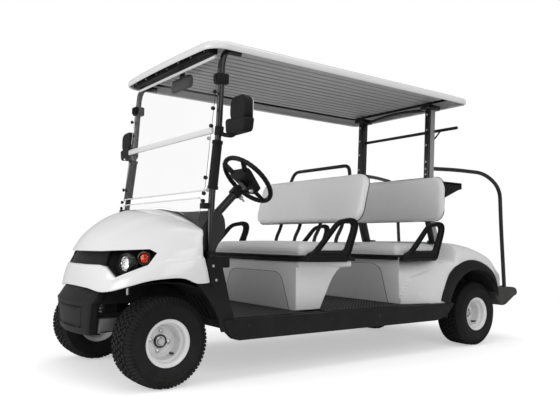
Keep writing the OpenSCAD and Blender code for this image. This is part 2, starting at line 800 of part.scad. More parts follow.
module rear_step() {
    half = sill_y - 35;
    x = step_x;
    outline = [[x, 358], [x + 12, 392], [x + 60, 406], [x + 285, 410], [x + 285, 330], [x + 195, 268],
        [x + 45, 336], [x + 8, 346]];
    inner = [[x + 10, 360], [x + 20, 386], [x + 62, 398], [x + 277, 402], [x + 277, 250], [x + 195,
        250], [x + 45, 326], [x + 14, 340]];
    color("black") difference() {
        side_plate(outline, -half, half);
        side_plate(inner, -half + 8, half - 8);
    }
}

module tail_lamps() {
    color("red") both_sides() translate([rear_x - 395, tail_half_w - 153, 520]) rotate([0, 90, 0])
        cylinder(h = 20 - touch, r = 42);
}

chassis();
floor_plate();
floor_mat();
side_sills();
front_axle();
knuckle_left();
knuckle_right();
tie_rod();
rear_axle();
drive_motor();
battery_pack();
tyre_front_left();
rim_front_left();
tyre_front_right();
rim_front_right();
tyre_rear_left();
rim_rear_left();
tyre_rear_right();
rim_rear_right();
front_cowl();
nose_panel();
front_bumper();
dashboard();
bulkhead();
pedals();
steering_column();
steering_wheel();
front_posts();
windscreen();
roof();
roof_liner();
rear_posts();
handrails();
bag_bracket();
mirrors();
front_seat_box();
seat_pans();
front_cushion();
rear_cushion();
front_backrest();
rear_backrest();
backrest_hoop();
hip_rails();
rear_body();
rear_flares();
rear_step();
tail_lamps();
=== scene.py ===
"""Golf cart: finishes, moulded shells, seats, wheels and trim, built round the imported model."""

import json
from math import acos, asin, cos, pi, radians, sin, sqrt

import bmesh
import bpy
from mathutils import Matrix, Vector


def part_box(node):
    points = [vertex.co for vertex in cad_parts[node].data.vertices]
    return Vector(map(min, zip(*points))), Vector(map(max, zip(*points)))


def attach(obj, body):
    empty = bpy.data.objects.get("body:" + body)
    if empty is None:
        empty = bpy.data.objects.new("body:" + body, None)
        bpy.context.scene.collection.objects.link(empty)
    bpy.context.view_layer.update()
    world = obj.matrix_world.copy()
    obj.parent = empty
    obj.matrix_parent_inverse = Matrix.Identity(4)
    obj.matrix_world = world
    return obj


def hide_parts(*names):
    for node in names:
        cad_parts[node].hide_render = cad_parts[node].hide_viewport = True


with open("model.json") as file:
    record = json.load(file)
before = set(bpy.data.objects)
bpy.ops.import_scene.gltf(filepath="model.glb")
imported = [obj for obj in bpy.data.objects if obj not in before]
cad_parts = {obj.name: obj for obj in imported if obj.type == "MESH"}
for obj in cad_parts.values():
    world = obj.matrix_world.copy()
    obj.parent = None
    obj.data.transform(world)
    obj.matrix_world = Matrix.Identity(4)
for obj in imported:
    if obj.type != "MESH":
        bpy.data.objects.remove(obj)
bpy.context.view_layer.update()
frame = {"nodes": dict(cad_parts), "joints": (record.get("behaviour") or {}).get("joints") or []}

UP = Vector((0, 0, 1))
LEFT = Vector((0, 1, 0))
BOTH = (1, -1)


# ---- Camera, lamps and floor ----

def place_camera():
    """A low camera off the front left corner, at seat height and looking slightly up."""
    lens = bpy.data.cameras.new("studio_camera")
    lens.sensor_width = 36
    lens.lens = 39.33
    lens.clip_end = 60
    camera = bpy.data.objects.new("studio_camera", lens)
    bpy.context.scene.collection.objects.link(camera)
    eye, heading, rise, roll = (2.7325, 3.3434, 0.7374), -2.2097, 0.0518, 0.013
    view = Vector((cos(rise) * cos(heading), cos(rise) * sin(heading), sin(rise)))
    turn = view.to_track_quat("-Z", "Y").to_matrix() @ Matrix.Rotation(roll, 3, "Z")
    camera.matrix_world = Matrix.Translation(eye) @ turn.to_4x4()
    bpy.context.scene.camera = camera


def area_lamp(name, place, target, size, power):
    """A square soft lamp aimed at a point."""
    lamp = bpy.data.lights.new(name, "AREA")
    lamp.shape = "SQUARE"
    lamp.size = size
    lamp.energy = power
    ob = bpy.data.objects.new(name, lamp)
    aim = (Vector(target) - Vector(place)).to_track_quat("-Z", "Y").to_matrix().to_4x4()
    ob.matrix_world = Matrix.Translation(place) @ aim
    bpy.context.scene.collection.objects.link(ob)


def light_studio():
    """Three large soft boxes in a plain white room."""
    area_lamp("side_softbox", (1.5, 6.5, 3.6), (0, 0, 0.8), 4.5, 105)
    area_lamp("top_softbox", (-0.3, 0.8, 6.0), (0, 0, 0.5), 5.0, 85)
    area_lamp("front_softbox", (6.8, -0.4, 1.7), (0, 0, 0.9), 4.0, 165)
    world = bpy.data.worlds.new("white_room")
    bpy.context.scene.world = world
    world.use_nodes = True
    tree = world.node_tree
    tree.nodes.clear()
    path = tree.nodes.new("ShaderNodeLightPath")
    seen = node(tree, "ShaderNodeMath", [path.outputs["Is Camera Ray"], path.outputs["Is Transmission Ray"]],
                operation="MAXIMUM")
    level = node(tree, "ShaderNodeMapRange", [seen.outputs[0], 0, 1, 0.50, 1.0])
    sky = node(tree, "ShaderNodeBackground", {"Color": (1, 1, 1, 1), "Strength": level.outputs[0]})
    out = tree.nodes.new("ShaderNodeOutputWorld")
    tree.links.new(sky.outputs[0], out.inputs[0])


def lay_floor():
    """A pale round floor that fades out into the white room."""
    bm = bmesh.new()
    bmesh.ops.create_circle(bm, cap_ends=True, segments=96, radius=12)
    mesh = bpy.data.meshes.new("studio_floor")
    bm.to_mesh(mesh)
    bm.free()
    floor = bpy.data.objects.new("studio_floor", mesh)
    bpy.context.scene.collection.objects.link(floor)
    finish = bpy.data.materials.new("studio_floor")
    finish.use_nodes = True
    tree = finish.node_tree
    tree.nodes.clear()
    place = tree.nodes.new("ShaderNodeTexCoord")
    distance = node(tree, "ShaderNodeVectorMath", [place.outputs["Object"]], operation="LENGTH")
    faded = node(tree, "ShaderNodeMapRange", [distance.outputs["Value"], 2.1, 4.4, 0, 1],
                 interpolation_type="SMOOTHERSTEP")
    path = tree.nodes.new("ShaderNodeLightPath")
    lit = node(tree, "ShaderNodeMath", [path.outputs["Is Camera Ray"], 0.46], operation="MULTIPLY")
    pale = node(tree, "ShaderNodeBsdfDiffuse", {"Color": (0.86, 0.86, 0.86, 1)})
    glow = node(tree, "ShaderNodeEmission", {"Strength": lit.outputs[0]})
    paper = node(tree, "ShaderNodeAddShader", [pale.outputs[0], glow.outputs[0]])
    clear = tree.nodes.new("ShaderNodeBsdfTransparent")
    mixed = node(tree, "ShaderNodeMixShader", [faded.outputs[0], paper.outputs[0], clear.outputs[0]])
    out = tree.nodes.new("ShaderNodeOutputMaterial")
    tree.links.new(mixed.outputs[0], out.inputs[0])
    mesh.materials.append(finish)


# ---- Node helpers and shared effects ----

def node(tree, kind, inputs=(), **settings):
    """A node with its settings made and its inputs linked or set, by name or in order."""
    made = tree.nodes.new(kind)
    for key, value in settings.items():
        setattr(made, key, value)
    pairs = inputs.items() if isinstance(inputs, dict) else enumerate(inputs)
    for key, value in pairs:
        if isinstance(value, bpy.types.NodeSocket):
            tree.links.new(value, made.inputs[key])
        elif value is not None:
            made.inputs[key].default_value = value
    return made


def colour_mix(tree, share, first, second, blend="MIX"):
    """The output of a colour mix of two sockets or colours."""
    mixer = tree.nodes.new("ShaderNodeMix")
    mixer.data_type = "RGBA"
    mixer.blend_type = blend
    for socket, value in ((mixer.inputs[0], share), (mixer.inputs[6], first), (mixer.inputs[7], second)):
        if isinstance(value, bpy.types.NodeSocket):
            tree.links.new(value, socket)
        else:
            socket.default_value = value
    return mixer.outputs[2]


def effect(name, takes, gives):
    """An empty node group with named inputs and outputs: (tree, its inputs, its outputs)."""
    tree = bpy.data.node_groups.new(name, "ShaderNodeTree")
    kinds = {"f": "NodeSocketFloat", "c": "NodeSocketColor", "v": "NodeSocketVector"}
    for label, kind in takes:
        tree.interface.new_socket(label, in_out="INPUT", socket_type=kinds[kind])
    for label, kind in gives:
        tree.interface.new_socket(label, in_out="OUTPUT", socket_type=kinds[kind])
    return tree, tree.nodes.new("NodeGroupInput").outputs, tree.nodes.new("NodeGroupOutput").inputs


def make_road_dust():
    """Pale dust that settles low on the cart and in patches: a colour and a mask."""
    tree, given, out = effect("road_dust", [("Colour", "c"), ("Dust", "c"), ("Amount", "f"), ("Reach", "f")],
                              [("Colour", "c"), ("Mask", "f")])
    place = tree.nodes.new("ShaderNodeTexCoord").outputs["Object"]
    height = node(tree, "ShaderNodeSeparateXYZ", [place]).outputs[2]
    low = node(tree, "ShaderNodeMapRange", {"Value": height, "From Min": given["Reach"], "From Max": 0.0}).outputs[0]
    patches = node(tree, "ShaderNodeTexNoise", {"Vector": place, "Scale": 9, "Detail": 6, "Roughness": 0.65})
    worn = node(tree, "ShaderNodeMapRange", [patches.outputs[0], 0.35, 0.75, 0.25, 1]).outputs[0]
    mask = node(tree, "ShaderNodeMath", [low, worn], operation="MULTIPLY").outputs[0]
    mask = node(tree, "ShaderNodeMath", [mask, given["Amount"]], operation="MULTIPLY", use_clamp=True).outputs[0]
    tree.links.new(colour_mix(tree, mask, given["Colour"], given["Dust"]), out["Colour"])
    tree.links.new(mask, out["Mask"])
    return tree


def make_tone():
    """Slow, faint changes of tone over a surface: a colour and a value from 0 to 1."""
    tree, given, out = effect("tone_drift", [("Colour", "c"), ("Depth", "f"), ("Scale", "f")],
                              [("Colour", "c"), ("Value", "f")])
    place = tree.nodes.new("ShaderNodeTexCoord").outputs["Object"]
    cloud = node(tree, "ShaderNodeTexNoise", {"Vector": place, "Scale": given["Scale"], "Detail": 4}).outputs[0]
    value = node(tree, "ShaderNodeMapRange", [cloud, 0.3, 0.7, 0, 1]).outputs[0]
    share = node(tree, "ShaderNodeMath", [value, given["Depth"]], operation="MULTIPLY").outputs[0]
    tree.links.new(colour_mix(tree, share, given["Colour"], (0.25, 0.25, 0.25, 1), "MULTIPLY"), out["Colour"])
    tree.links.new(value, out["Value"])
    return tree


def make_scuffs():
    """Fine rubbed scratches and handling marks: a mask."""
    tree, given, out = effect("scuffs", [("Amount", "f"), ("Scale", "f")], [("Mask", "f")])
    place = tree.nodes.new("ShaderNodeTexCoord").outputs["Object"]
    long_way = node(tree, "ShaderNodeMapping", {"Vector": place, "Scale": (1.0, 7.0, 9.0),
                                                "Rotation": (0.3, 0.5, 0.4)}).outputs[0]
    lines = node(tree, "ShaderNodeTexNoise", {"Vector": long_way, "Scale": given["Scale"], "Detail": 8,
                                              "Roughness": 0.75}).outputs[0]
    where = node(tree, "ShaderNodeTexNoise", {"Vector": place, "Scale": 5, "Detail": 3}).outputs[0]
    thin = node(tree, "ShaderNodeMapRange", [lines, 0.60, 0.72, 0, 1]).outputs[0]
    part = node(tree, "ShaderNodeMapRange", [where, 0.45, 0.65, 0, 1]).outputs[0]
    mask = node(tree, "ShaderNodeMath", [thin, part], operation="MULTIPLY").outputs[0]
    mask = node(tree, "ShaderNodeMath", [mask, given["Amount"]], operation="MULTIPLY", use_clamp=True).outputs[0]
    tree.links.new(mask, out["Mask"])
    return tree


def make_pebble():
    """The pebbled grain of vinyl and moulded plastic: a height, and a mask of its crevices for painted shade."""
    tree, given, out = effect("pebble_grain", [("Scale", "f")], [("Height", "f"), ("Crevice_Shade", "f")])
    place = tree.nodes.new("ShaderNodeTexCoord").outputs["Object"]
    warp = node(tree, "ShaderNodeTexNoise", {"Vector": place, "Scale": 90, "Detail": 2}).outputs["Color"]
    shift = node(tree, "ShaderNodeVectorMath", [warp, (0.004, 0.004, 0.004)], operation="MULTIPLY").outputs[0]
    bent = node(tree, "ShaderNodeVectorMath", [place, shift], operation="ADD").outputs[0]
    cells = node(tree, "ShaderNodeTexVoronoi", {"Vector": bent, "Scale": given["Scale"]},
                 feature="DISTANCE_TO_EDGE").outputs["Distance"]
    height = node(tree, "ShaderNodeMapRange", [cells, 0.0, 0.22, 0, 1], interpolation_type="SMOOTHSTEP").outputs[0]
    crevice = node(tree, "ShaderNodeMath", [1.0, height], operation="SUBTRACT").outputs[0]
    tree.links.new(height, out["Height"])
    tree.links.new(crevice, out["Crevice_Shade"])
    return tree


EFFECTS = {"dust": make_road_dust(), "tone": make_tone(), "scuffs": make_scuffs(), "pebble": make_pebble()}


def use(tree, name, **values):
    """Places a shared effect in a material with its own values."""
    return node(tree, "ShaderNodeGroup", values, node_tree=EFFECTS[name])


# ---- Finishes ----

def grey(level, tint=(1, 1, 1)):
    return (level * tint[0], level * tint[1], level * tint[2], 1)


def finish(name, colour, roughness, drift=0.0, dust=0.0, dust_top=0.9, scuff=0.0, scuff_tone=0.35,
           grain=0.0, grain_scale=500.0, peel=0.0, peel_scale=120.0, spread=0.08, ribs=None, **shader):
    """A finish of one base colour with drift, dust, scuffs and a fine relief, each as strong as it is given; painted
    shade darkens the grain's crevices and the ribs' grooves.
    """
    made = bpy.data.materials.new(name)
    made.use_nodes = True
    tree = made.node_tree
    skin = tree.nodes["Principled BSDF"]
    toned = use(tree, "tone", Colour=colour, Depth=drift, Scale=3.5)
    shade = toned.outputs["Colour"]
    rough = node(tree, "ShaderNodeMapRange", [toned.outputs["Value"], 0, 1, roughness - spread / 2,
                                              roughness + spread / 2]).outputs[0]
    if scuff:
        marks = use(tree, "scuffs", Amount=scuff, Scale=14).outputs["Mask"]
        shade = colour_mix(tree, marks, shade, grey(scuff_tone))
        rough = node(tree, "ShaderNodeMath", [marks, 0.3, rough], operation="MULTIPLY_ADD", use_clamp=True).outputs[0]
    height = None
    if grain:
        pebble = use(tree, "pebble", Scale=grain_scale)
        height = pebble.outputs["Height"]
        # The grain's crevices are darkened towards near black: painted shade in them, on top of the bump's relief.
        sunk = node(tree, "ShaderNodeMath", [pebble.outputs["Crevice_Shade"], 0.22], operation="MULTIPLY").outputs[0]
        shade = colour_mix(tree, sunk, shade, grey(0.02))
        bump = node(tree, "ShaderNodeBump", {"Strength": grain, "Distance": 0.0006, "Height": height})
    else:
        place = tree.nodes.new("ShaderNodeTexCoord").outputs["Object"]
        height = node(tree, "ShaderNodeTexNoise", {"Vector": place, "Scale": peel_scale, "Detail": 3}).outputs[0]
        bump = node(tree, "ShaderNodeBump", {"Strength": peel, "Distance": 0.001, "Height": height})
    if ribs:
        way, pitch, depth, phase, low, high = ribs
        place = tree.nodes.new("ShaderNodeTexCoord").outputs["Object"]
        part = node(tree, "ShaderNodeVectorMath", [place, way], operation="DOT_PRODUCT").outputs["Value"]
        rib_height_and_groove_shade = node(tree, "ShaderNodeMath", [part, 2 * pi / pitch, phase], operation="MULTIPLY_ADD").outputs[0]
        rib_height_and_groove_shade = node(tree, "ShaderNodeMath", [rib_height_and_groove_shade], operation="SINE").outputs[0]
        rib_height_and_groove_shade = node(tree, "ShaderNodeMapRange", [rib_height_and_groove_shade, low, high, 0, 1]).outputs[0]
        # The colour is darkened in the ribs' grooves, down to 0.22 of it: painted shade in the grooves, while the bump
        # gives the relief.
        shade = colour_mix(tree, rib_height_and_groove_shade, colour_mix(tree, 1.0, shade, grey(0.22), "MULTIPLY"), shade)
        bump = node(tree, "ShaderNodeBump", {"Strength": 1.0, "Distance": depth, "Height": rib_height_and_groove_shade,
                                             "Normal": bump.outputs[0]})
    if dust:
        settled = use(tree, "dust", Colour=shade, Dust=grey(0.42, (1.0, 0.97, 0.92)), Amount=dust, Reach=dust_top)
        shade = settled.outputs["Colour"]
        rough = node(tree, "ShaderNodeMath", [settled.outputs["Mask"], 0.35, rough], operation="MULTIPLY_ADD",
                     use_clamp=True).outputs[0]
    tree.links.new(shade, skin.inputs["Base Color"])
    tree.links.new(rough, skin.inputs["Roughness"])
    tree.links.new(bump.outputs[0], skin.inputs["Normal"])
    if max(colour[:3]) < 0.1:
        skin.inputs["Specular IOR Level"].default_value = 0.14
    for key, value in shader.items():
        skin.inputs[key.replace("_", " ")].default_value = value
    return made


def clear_finish(name, colour, roughness=0.02, ior=1.46):
    """Clear or tinted glass and lens plastic, with faint wiping marks in its gloss."""
    made = bpy.data.materials.new(name)
    made.use_nodes = True
    tree = made.node_tree
    skin = tree.nodes["Principled BSDF"]
    skin.inputs["Transmission Weight"].default_value = 1
    skin.inputs["IOR"].default_value = ior
    marks = use(tree, "scuffs", Amount=0.5, Scale=8).outputs["Mask"]
    rough = node(tree, "ShaderNodeMapRange", [marks, 0, 1, roughness, roughness + 0.05]).outputs[0]
    tree.links.new(rough, skin.inputs["Roughness"])
    toned = use(tree, "tone", Colour=colour, Depth=0.02, Scale=2).outputs["Colour"]
    tree.links.new(toned, skin.inputs["Base Color"])
    return made


WHITE_PANEL = finish("white_body_panel", grey(0.80), 0.24, drift=0.03, dust=0.22, dust_top=0.62, peel=0.05,
                     peel_scale=70, Coat_Weight=0.5, Coat_Roughness=0.06)
# Whiter than the body's white panel: painted light, raising the seat boxes' shaded front faces.
SEAT_PANEL_PAINTED_LIGHT = finish("white_seat_box_panel_painted_light", grey(0.90), 0.36, drift=0.04, dust=0.3, dust_top=0.75, scuff=0.12,
                    scuff_tone=0.5, peel=0.08, peel_scale=90)
INNER_PANEL = finish("grey_inset_panel", grey(0.80), 0.5, drift=0.06, dust=0.25, dust_top=0.8, scuff=0.15,
                     grain=0.35, grain_scale=420)
BLACK_PLASTIC = finish("black_moulded_plastic", grey(0.009), 0.50, drift=0.12, dust=0.04, dust_top=0.6, scuff=0.15,
                       scuff_tone=0.08, grain=0.45, grain_scale=620)
GLOSS_BLACK = finish("black_gloss_plastic", grey(0.007), 0.20, drift=0.1, peel=0.05, scuff=0.15, scuff_tone=0.06,
                     Specular_IOR_Level=0.5)
BLACK_COAT = finish("black_powder_coat", grey(0.008), 0.28, drift=0.1, dust=0.04, dust_top=0.6, scuff=0.2,
                    scuff_tone=0.1, peel=0.18, peel_scale=420, Specular_IOR_Level=0.4)
GREY_STEEL = finish("grey_painted_steel", grey(0.13), 0.5, drift=0.2, dust=0.35, dust_top=0.5, scuff=0.3,
                    scuff_tone=0.3, peel=0.2, peel_scale=260)
DARK_STEEL = finish("dark_chassis_steel", grey(0.018), 0.45, drift=0.2, dust=0.3, dust_top=0.5, scuff=0.3,
                    scuff_tone=0.16, peel=0.2, peel_scale=260)
ZINC = finish("zinc_plated_steel", grey(0.62), 0.3, drift=0.15, peel=0.1, peel_scale=300, spread=0.16, Metallic=1.0)
CHROME = finish("lamp_reflector_chrome", grey(0.9), 0.09, drift=0.02, Metallic=1.0, spread=0.04)
RIM_PAINT = finish("white_rim_paint", grey(0.86), 0.3, drift=0.05, dust=0.25, dust_top=0.55, scuff=0.12,
                   scuff_tone=0.3, peel=0.1, peel_scale=160, Coat_Weight=0.3, Coat_Roughness=0.1)
TYRE = finish("tyre_rubber", grey(0.009), 0.66, drift=0.2, dust=0.05, dust_top=0.4, scuff=0.2, scuff_tone=0.06,
              grain=0.3, grain_scale=900)
# The mat's ribs are a bump with painted shade in their grooves.
MAT_RUBBER = finish("floor_mat_rubber", grey(0.085), 0.6, drift=0.2, dust=0.06, dust_top=0.7, scuff=0.2,
                    scuff_tone=0.16, grain=0.3, grain_scale=700,
                    ribs=((0.7071, -0.7071, 0), 0.0185, 0.004, 0.0, -0.3, 0.3))
LINER_RIBS = 14
# The liner's colour ribs put painted shade in the grooves between its modelled ribs.
LINER = finish("grey_roof_liner", grey(0.46), 0.55, drift=0.05, peel=0.1, peel_scale=160,
               ribs=((0, 1, 0), 0.96 / LINER_RIBS, 0.004, -pi / 2, -0.985, -0.55))
ROOF_UNDER = finish("grey_roof_underside", grey(0.40), 0.6, drift=0.06, peel=0.1, peel_scale=160)
# Grey for the black posts' side faces: painted light, standing for the light on their sides.
POST_SIDE_PAINTED_LIGHT = finish("post_side_painted_light", grey(0.30), 0.4, drift=0.12, scuff=0.2, scuff_tone=0.1, peel=0.15,
                   peel_scale=260)
VINYL = finish("pale_seat_vinyl", grey(0.90), 0.46, drift=0.05, scuff=0.05, scuff_tone=0.5, grain=0.5,
               grain_scale=560, Specular_IOR_Level=0.45)
PIPING = finish("dark_piping_vinyl", grey(0.03), 0.5, drift=0.1, grain=0.3, grain_scale=800)
SEAT_BASE = finish("black_seat_board", grey(0.010), 0.6, drift=0.1, dust=0.1, peel=0.2, peel_scale=200)
BATTERY = finish("dark_battery_case", grey(0.06), 0.5, drift=0.15, dust=0.3, dust_top=0.8, peel=0.1)
BAR_PALE = finish("pale_screen_bar", grey(0.8), 0.25, drift=0.03, peel=0.03, scuff=0.1, scuff_tone=0.5)
MIRROR_GLASS = finish("mirror_silver", grey(0.85), 0.03, drift=0.01, Metallic=1.0, spread=0.02)
DASH = finish("dark_grey_dash", grey(0.04), 0.5, drift=0.1, scuff=0.1, scuff_tone=0.16, grain=0.5, grain_scale=480)
WHEEL_BLACK = finish("steering_wheel_foam", grey(0.010), 0.5, drift=0.1, scuff=0.1, scuff_tone=0.12, grain=0.35,
                     grain_scale=900)
WELL_BLACK = finish("wheel_well_black", grey(0.012), 0.7, drift=0.2, dust=0.18, dust_top=0.6, peel=0.2, peel_scale=60)
STEP_GREY = finish("grey_step_plastic", grey(0.04), 0.5, drift=0.12, dust=0.25, dust_top=0.6, scuff=0.3,
                   scuff_tone=0.2, grain=0.4, grain_scale=420)
SCREEN = clear_finish("clear_screen", grey(0.975), 0.01, 1.12)
LENS = clear_finish("clear_lamp_lens", grey(0.97), 0.03)
AMBER = clear_finish("amber_indicator_lens", (0.80, 0.17, 0.03, 1), 0.1)
RED_LENS = clear_finish("red_tail_lens", (0.7, 0.02, 0.02, 1), 0.12)


# ---- Mesh helpers ----

def piece(name, bm, paint, body="chassis", replaces=(), sharp=38, weld=1e-5):
    """Finishes a bmesh as a named piece: welded, facing outwards, smooth up to an angle, painted and riding."""
    if weld:
        bmesh.ops.remove_doubles(bm, verts=bm.verts, dist=weld)
    bmesh.ops.recalc_face_normals(bm, faces=bm.faces)
    mesh = bpy.data.meshes.new(name)
    bm.to_mesh(mesh)
    bm.free()
    mesh.materials.append(paint)
    mesh.shade_smooth()
    mesh.set_sharp_from_angle(angle=radians(sharp))
    ob = bpy.data.objects.new(name, mesh)
    bpy.context.scene.collection.objects.link(ob)
    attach(ob, body)
    if replaces:
        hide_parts(*replaces)
    return ob


def repaint(name, paint):
    """Gives a CAD node its finish."""
    mesh = frame["nodes"][name].data
    mesh.materials.clear()
    mesh.materials.append(paint)


def skin(bm, across, along, spot):
    """A sheet of faces whose corners lie where spot(u, v) puts them, u and v running from 0 to 1."""
    before = set(bm.verts)
    bmesh.ops.create_grid(bm, x_segments=across, y_segments=along, size=0.5)
    for vert in [v for v in bm.verts if v not in before]:
        vert.co = spot(vert.co.x + 0.5, vert.co.y + 0.5)


def turned_profile(bm, profile, centre, axis, steps=64):
    """Spins a profile of (distance from the axis, distance along it) into a closed ring."""
    axis = Vector(axis).normalized()
    side = axis.orthogonal().normalized()
    verts = [bm.verts.new(Vector(centre) + side * r + axis * a) for r, a in profile]
    edges = [bm.edges.new(pair) for pair in zip(verts, verts[1:])]
    bmesh.ops.spin(bm, geom=verts + edges, cent=centre, axis=axis, angle=2 * pi, steps=steps, use_merge=True)


def box(bm, low, high, soft=0.0, steps=2):
    """A block between two corners, with its edges rounded."""
    low, high = Vector(low), Vector(high)
    made = bmesh.ops.create_cube(bm, size=1)["verts"]
    for vert in made:
        vert.co = [low[i] + (vert.co[i] + 0.5) * (high[i] - low[i]) for i in range(3)]
    if soft:
        edges = list({e for v in made for e in v.link_edges})
        bmesh.ops.bevel(bm, geom=edges, offset=soft, offset_type="OFFSET", segments=steps, profile=0.5,
                        affect="EDGES", material=-1, clamp_overlap=True)
    return made


def plate(bm, outline, depth, soft=0.0, steps=2):
    """A closed outline of points, pushed out along a vector, with its edges rounded."""
    face = bm.faces.new([bm.verts.new(Vector(p)) for p in outline])
    pushed = bmesh.ops.extrude_face_region(bm, geom=[face], use_keep_orig=True)["geom"]
    new_verts = [g for g in pushed if isinstance(g, bmesh.types.BMVert)]
    bmesh.ops.translate(bm, verts=new_verts, vec=Vector(depth))
    if soft:
        ends = {e for e in face.edges} | {e for v in new_verts for e in v.link_edges
                                          if e.other_vert(v) in new_verts}
        bmesh.ops.bevel(bm, geom=list(ends), offset=soft, offset_type="OFFSET", segments=steps, profile=0.5,
                        affect="EDGES", material=-1, clamp_overlap=True)


def rounded(points, radius, steps=5, closed=True):
    """Rounds the corners of an outline of points with short curves."""
    points = [Vector(p) for p in points]
    count = len(points)
    out = []
    for i, corner in enumerate(points):
        if not closed and i in (0, count - 1):
            out.append(corner)
            continue
        before, after = points[i - 1] - corner, points[(i + 1) % count] - corner
        reach = min(radius, before.length / 2.05, after.length / 2.05)
        start, end = corner + before.normalized() * reach, corner + after.normalized() * reach
        for k in range(steps + 1):
            t = k / steps
            out.append(start * (1 - t) ** 2 + corner * 2 * t * (1 - t) + end * t * t)
    return out


def tube(bm, path, radius, sides=14, closed=False, squash=1.0, across=None):
    """A round or oval bar swept along a path of points; radius may be a function of the share of its length."""
    path = [Vector(p) for p in path]
    count = len(path)
    ref = Vector(across or (0, 1, 0))

    def spot(u, v):
        i = min(count - 1, round(v * (count if closed else count - 1)))
        i = i % count
        ahead = path[(i + 1) % count] if closed or i < count - 1 else path[i]
        behind = path[i - 1] if closed or i > 0 else path[i]
        way = (ahead - behind).normalized()
        first = way.cross(ref).normalized()
        second = first.cross(way)
        size = radius(v) if callable(radius) else radius
        return path[i] + (first * cos(2 * pi * u) + second * sin(2 * pi * u) * squash) * size

    old = set(bm.verts)
    skin(bm, sides, count if closed else count - 1, spot)
    made = [v for v in bm.verts if v not in old]
    bmesh.ops.remove_doubles(bm, verts=made, dist=1e-6)
    if not closed:
        rim = [e for e in bm.edges if e.is_boundary and e.verts[0] not in old]
        bmesh.ops.holes_fill(bm, edges=rim, sides=0)


def stack(bm, place, axis, rings):
    """Short cones set one on another along an axis, each given as (radius, top radius, low, high, sides)."""
    turn = Vector(axis).to_track_quat("Z", "Y").to_matrix().to_4x4()
    for radius, top, low, high, sides in rings:
        made = bmesh.ops.create_cone(bm, cap_ends=True, segments=sides, radius1=radius, radius2=top,
                                     depth=high - low)["verts"]
        bmesh.ops.translate(bm, verts=made, vec=(0, 0, (low + high) / 2))
        bmesh.ops.transform(bm, matrix=Matrix.Translation(place) @ turn, verts=made)


def bolt(bm, place, axis, size=0.008, height=0.006):
    """A hexagonal bolt head on a washer."""
    washer = size * 1.5
    stack(bm, place, Vector(axis).normalized(), ((washer, washer * 0.94, -0.001, 0.0015, 20),
                                                 (size, size * 0.94, 0.001, height, 6)))


def through(points, x):
    """A smooth line through (x, value) points, read at x."""
    if x <= points[0][0]:
        return points[0][1]
    if x >= points[-1][0]:
        return points[-1][1]
    k = max(i for i in range(len(points) - 1) if points[i][0] <= x)

    def slope(i):
        before, after = points[max(i - 1, 0)], points[min(i + 1, len(points) - 1)]
        return (after[1] - before[1]) / (after[0] - before[0])

    (x0, v0), (x1, v1) = points[k], points[k + 1]
    wide = x1 - x0
    t = (x - x0) / wide
    return (v0 * (1 + 2 * t) * (1 - t) ** 2 + v1 * t * t * (3 - 2 * t)
            + wide * t * (1 - t) * (slope(k) * (1 - t) - slope(k + 1) * t))


def straight(points, x):
    """A line of straight stretches through (x, value) points, read at x."""
    if x <= points[0][0]:
        return points[0][1]
    for (x0, v0), (x1, v1) in zip(points, points[1:]):
        if x <= x1:
            return v0 + (v1 - v0) * (x - x0) / (x1 - x0)
    return points[-1][1]


def ease(t):
    t = min(1.0, max(0.0, t))
    return t * t * (3 - 2 * t)


def mix(a, b, t):
    return a + (b - a) * t


def power(value, exponent):
    return abs(value) ** exponent * (1 if value >= 0 else -1)


# ---- Driving places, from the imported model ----

JOINT = {j["name"]: Vector(j["pos_m"]) for j in frame["joints"]}
AXLE = JOINT["left_steer"].x
REAR = JOINT["rear_left_spin"].x
HUB_Z = JOINT["left_steer"].z
SILL_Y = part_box("side_sills")[1].y
COWL_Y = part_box("front_cowl")[1].y
COWL_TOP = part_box("front_cowl")[1].z
COWL_BACK = AXLE - 0.217
NOSE = 0.503
CREST_BEND = 1.1
CREST_FALL = 0.41
CREST_INSET = 0.06
WALL = 0.004
THIN_WALL = 0.003
PIPING_POINTS = 220
SEAT_PITCH = 0.825
BOX_FOOT = 0.3265
INSET_FOOT = 0.3275


def ahead(x):
    """A place measured forwards from the front axle."""
    return AXLE + x


# ---- Front cowl with its recessed band and lamp pods ----

LOWER_EDGE = [(0, 0.487), (12, 0.483), (23.5, 0.470), (34, 0.480), (47, 0.508), (59.5, 0.536), (73.5, 0.549),
              (80, 0.543), (86, 0.519), (90, 0.521)]
BAND_FLOOR = [(0, 0.606), (22, 0.606), (27, 0.597), (35, 0.546), (55, 0.612), (57.5, 0.672), (90, 0.70)]
BAND_ROOF = [(0, 0.674), (22, 0.676), (30, 0.680), (52, 0.690), (57.5, 0.672), (90, 0.70)]
FLARE_EDGE = [(0, 0.552), (22, 0.545), (35, 0.524), (55, 0.594), (65.5, 0.634), (85.5, 0.648), (90, 0.648)]
POD_TIP = 57.5


def cowl_low(turn):
    """Height of the cowl's lower edge, which arches over the wheel."""
    return through(LOWER_EDGE, turn)


def squareness(z):
    """How squarely the cowl's plan turns its corner at a height: squarest low down, rounder above."""
    return 0.74 + 0.41 * ease((z - 0.46) / 0.38)


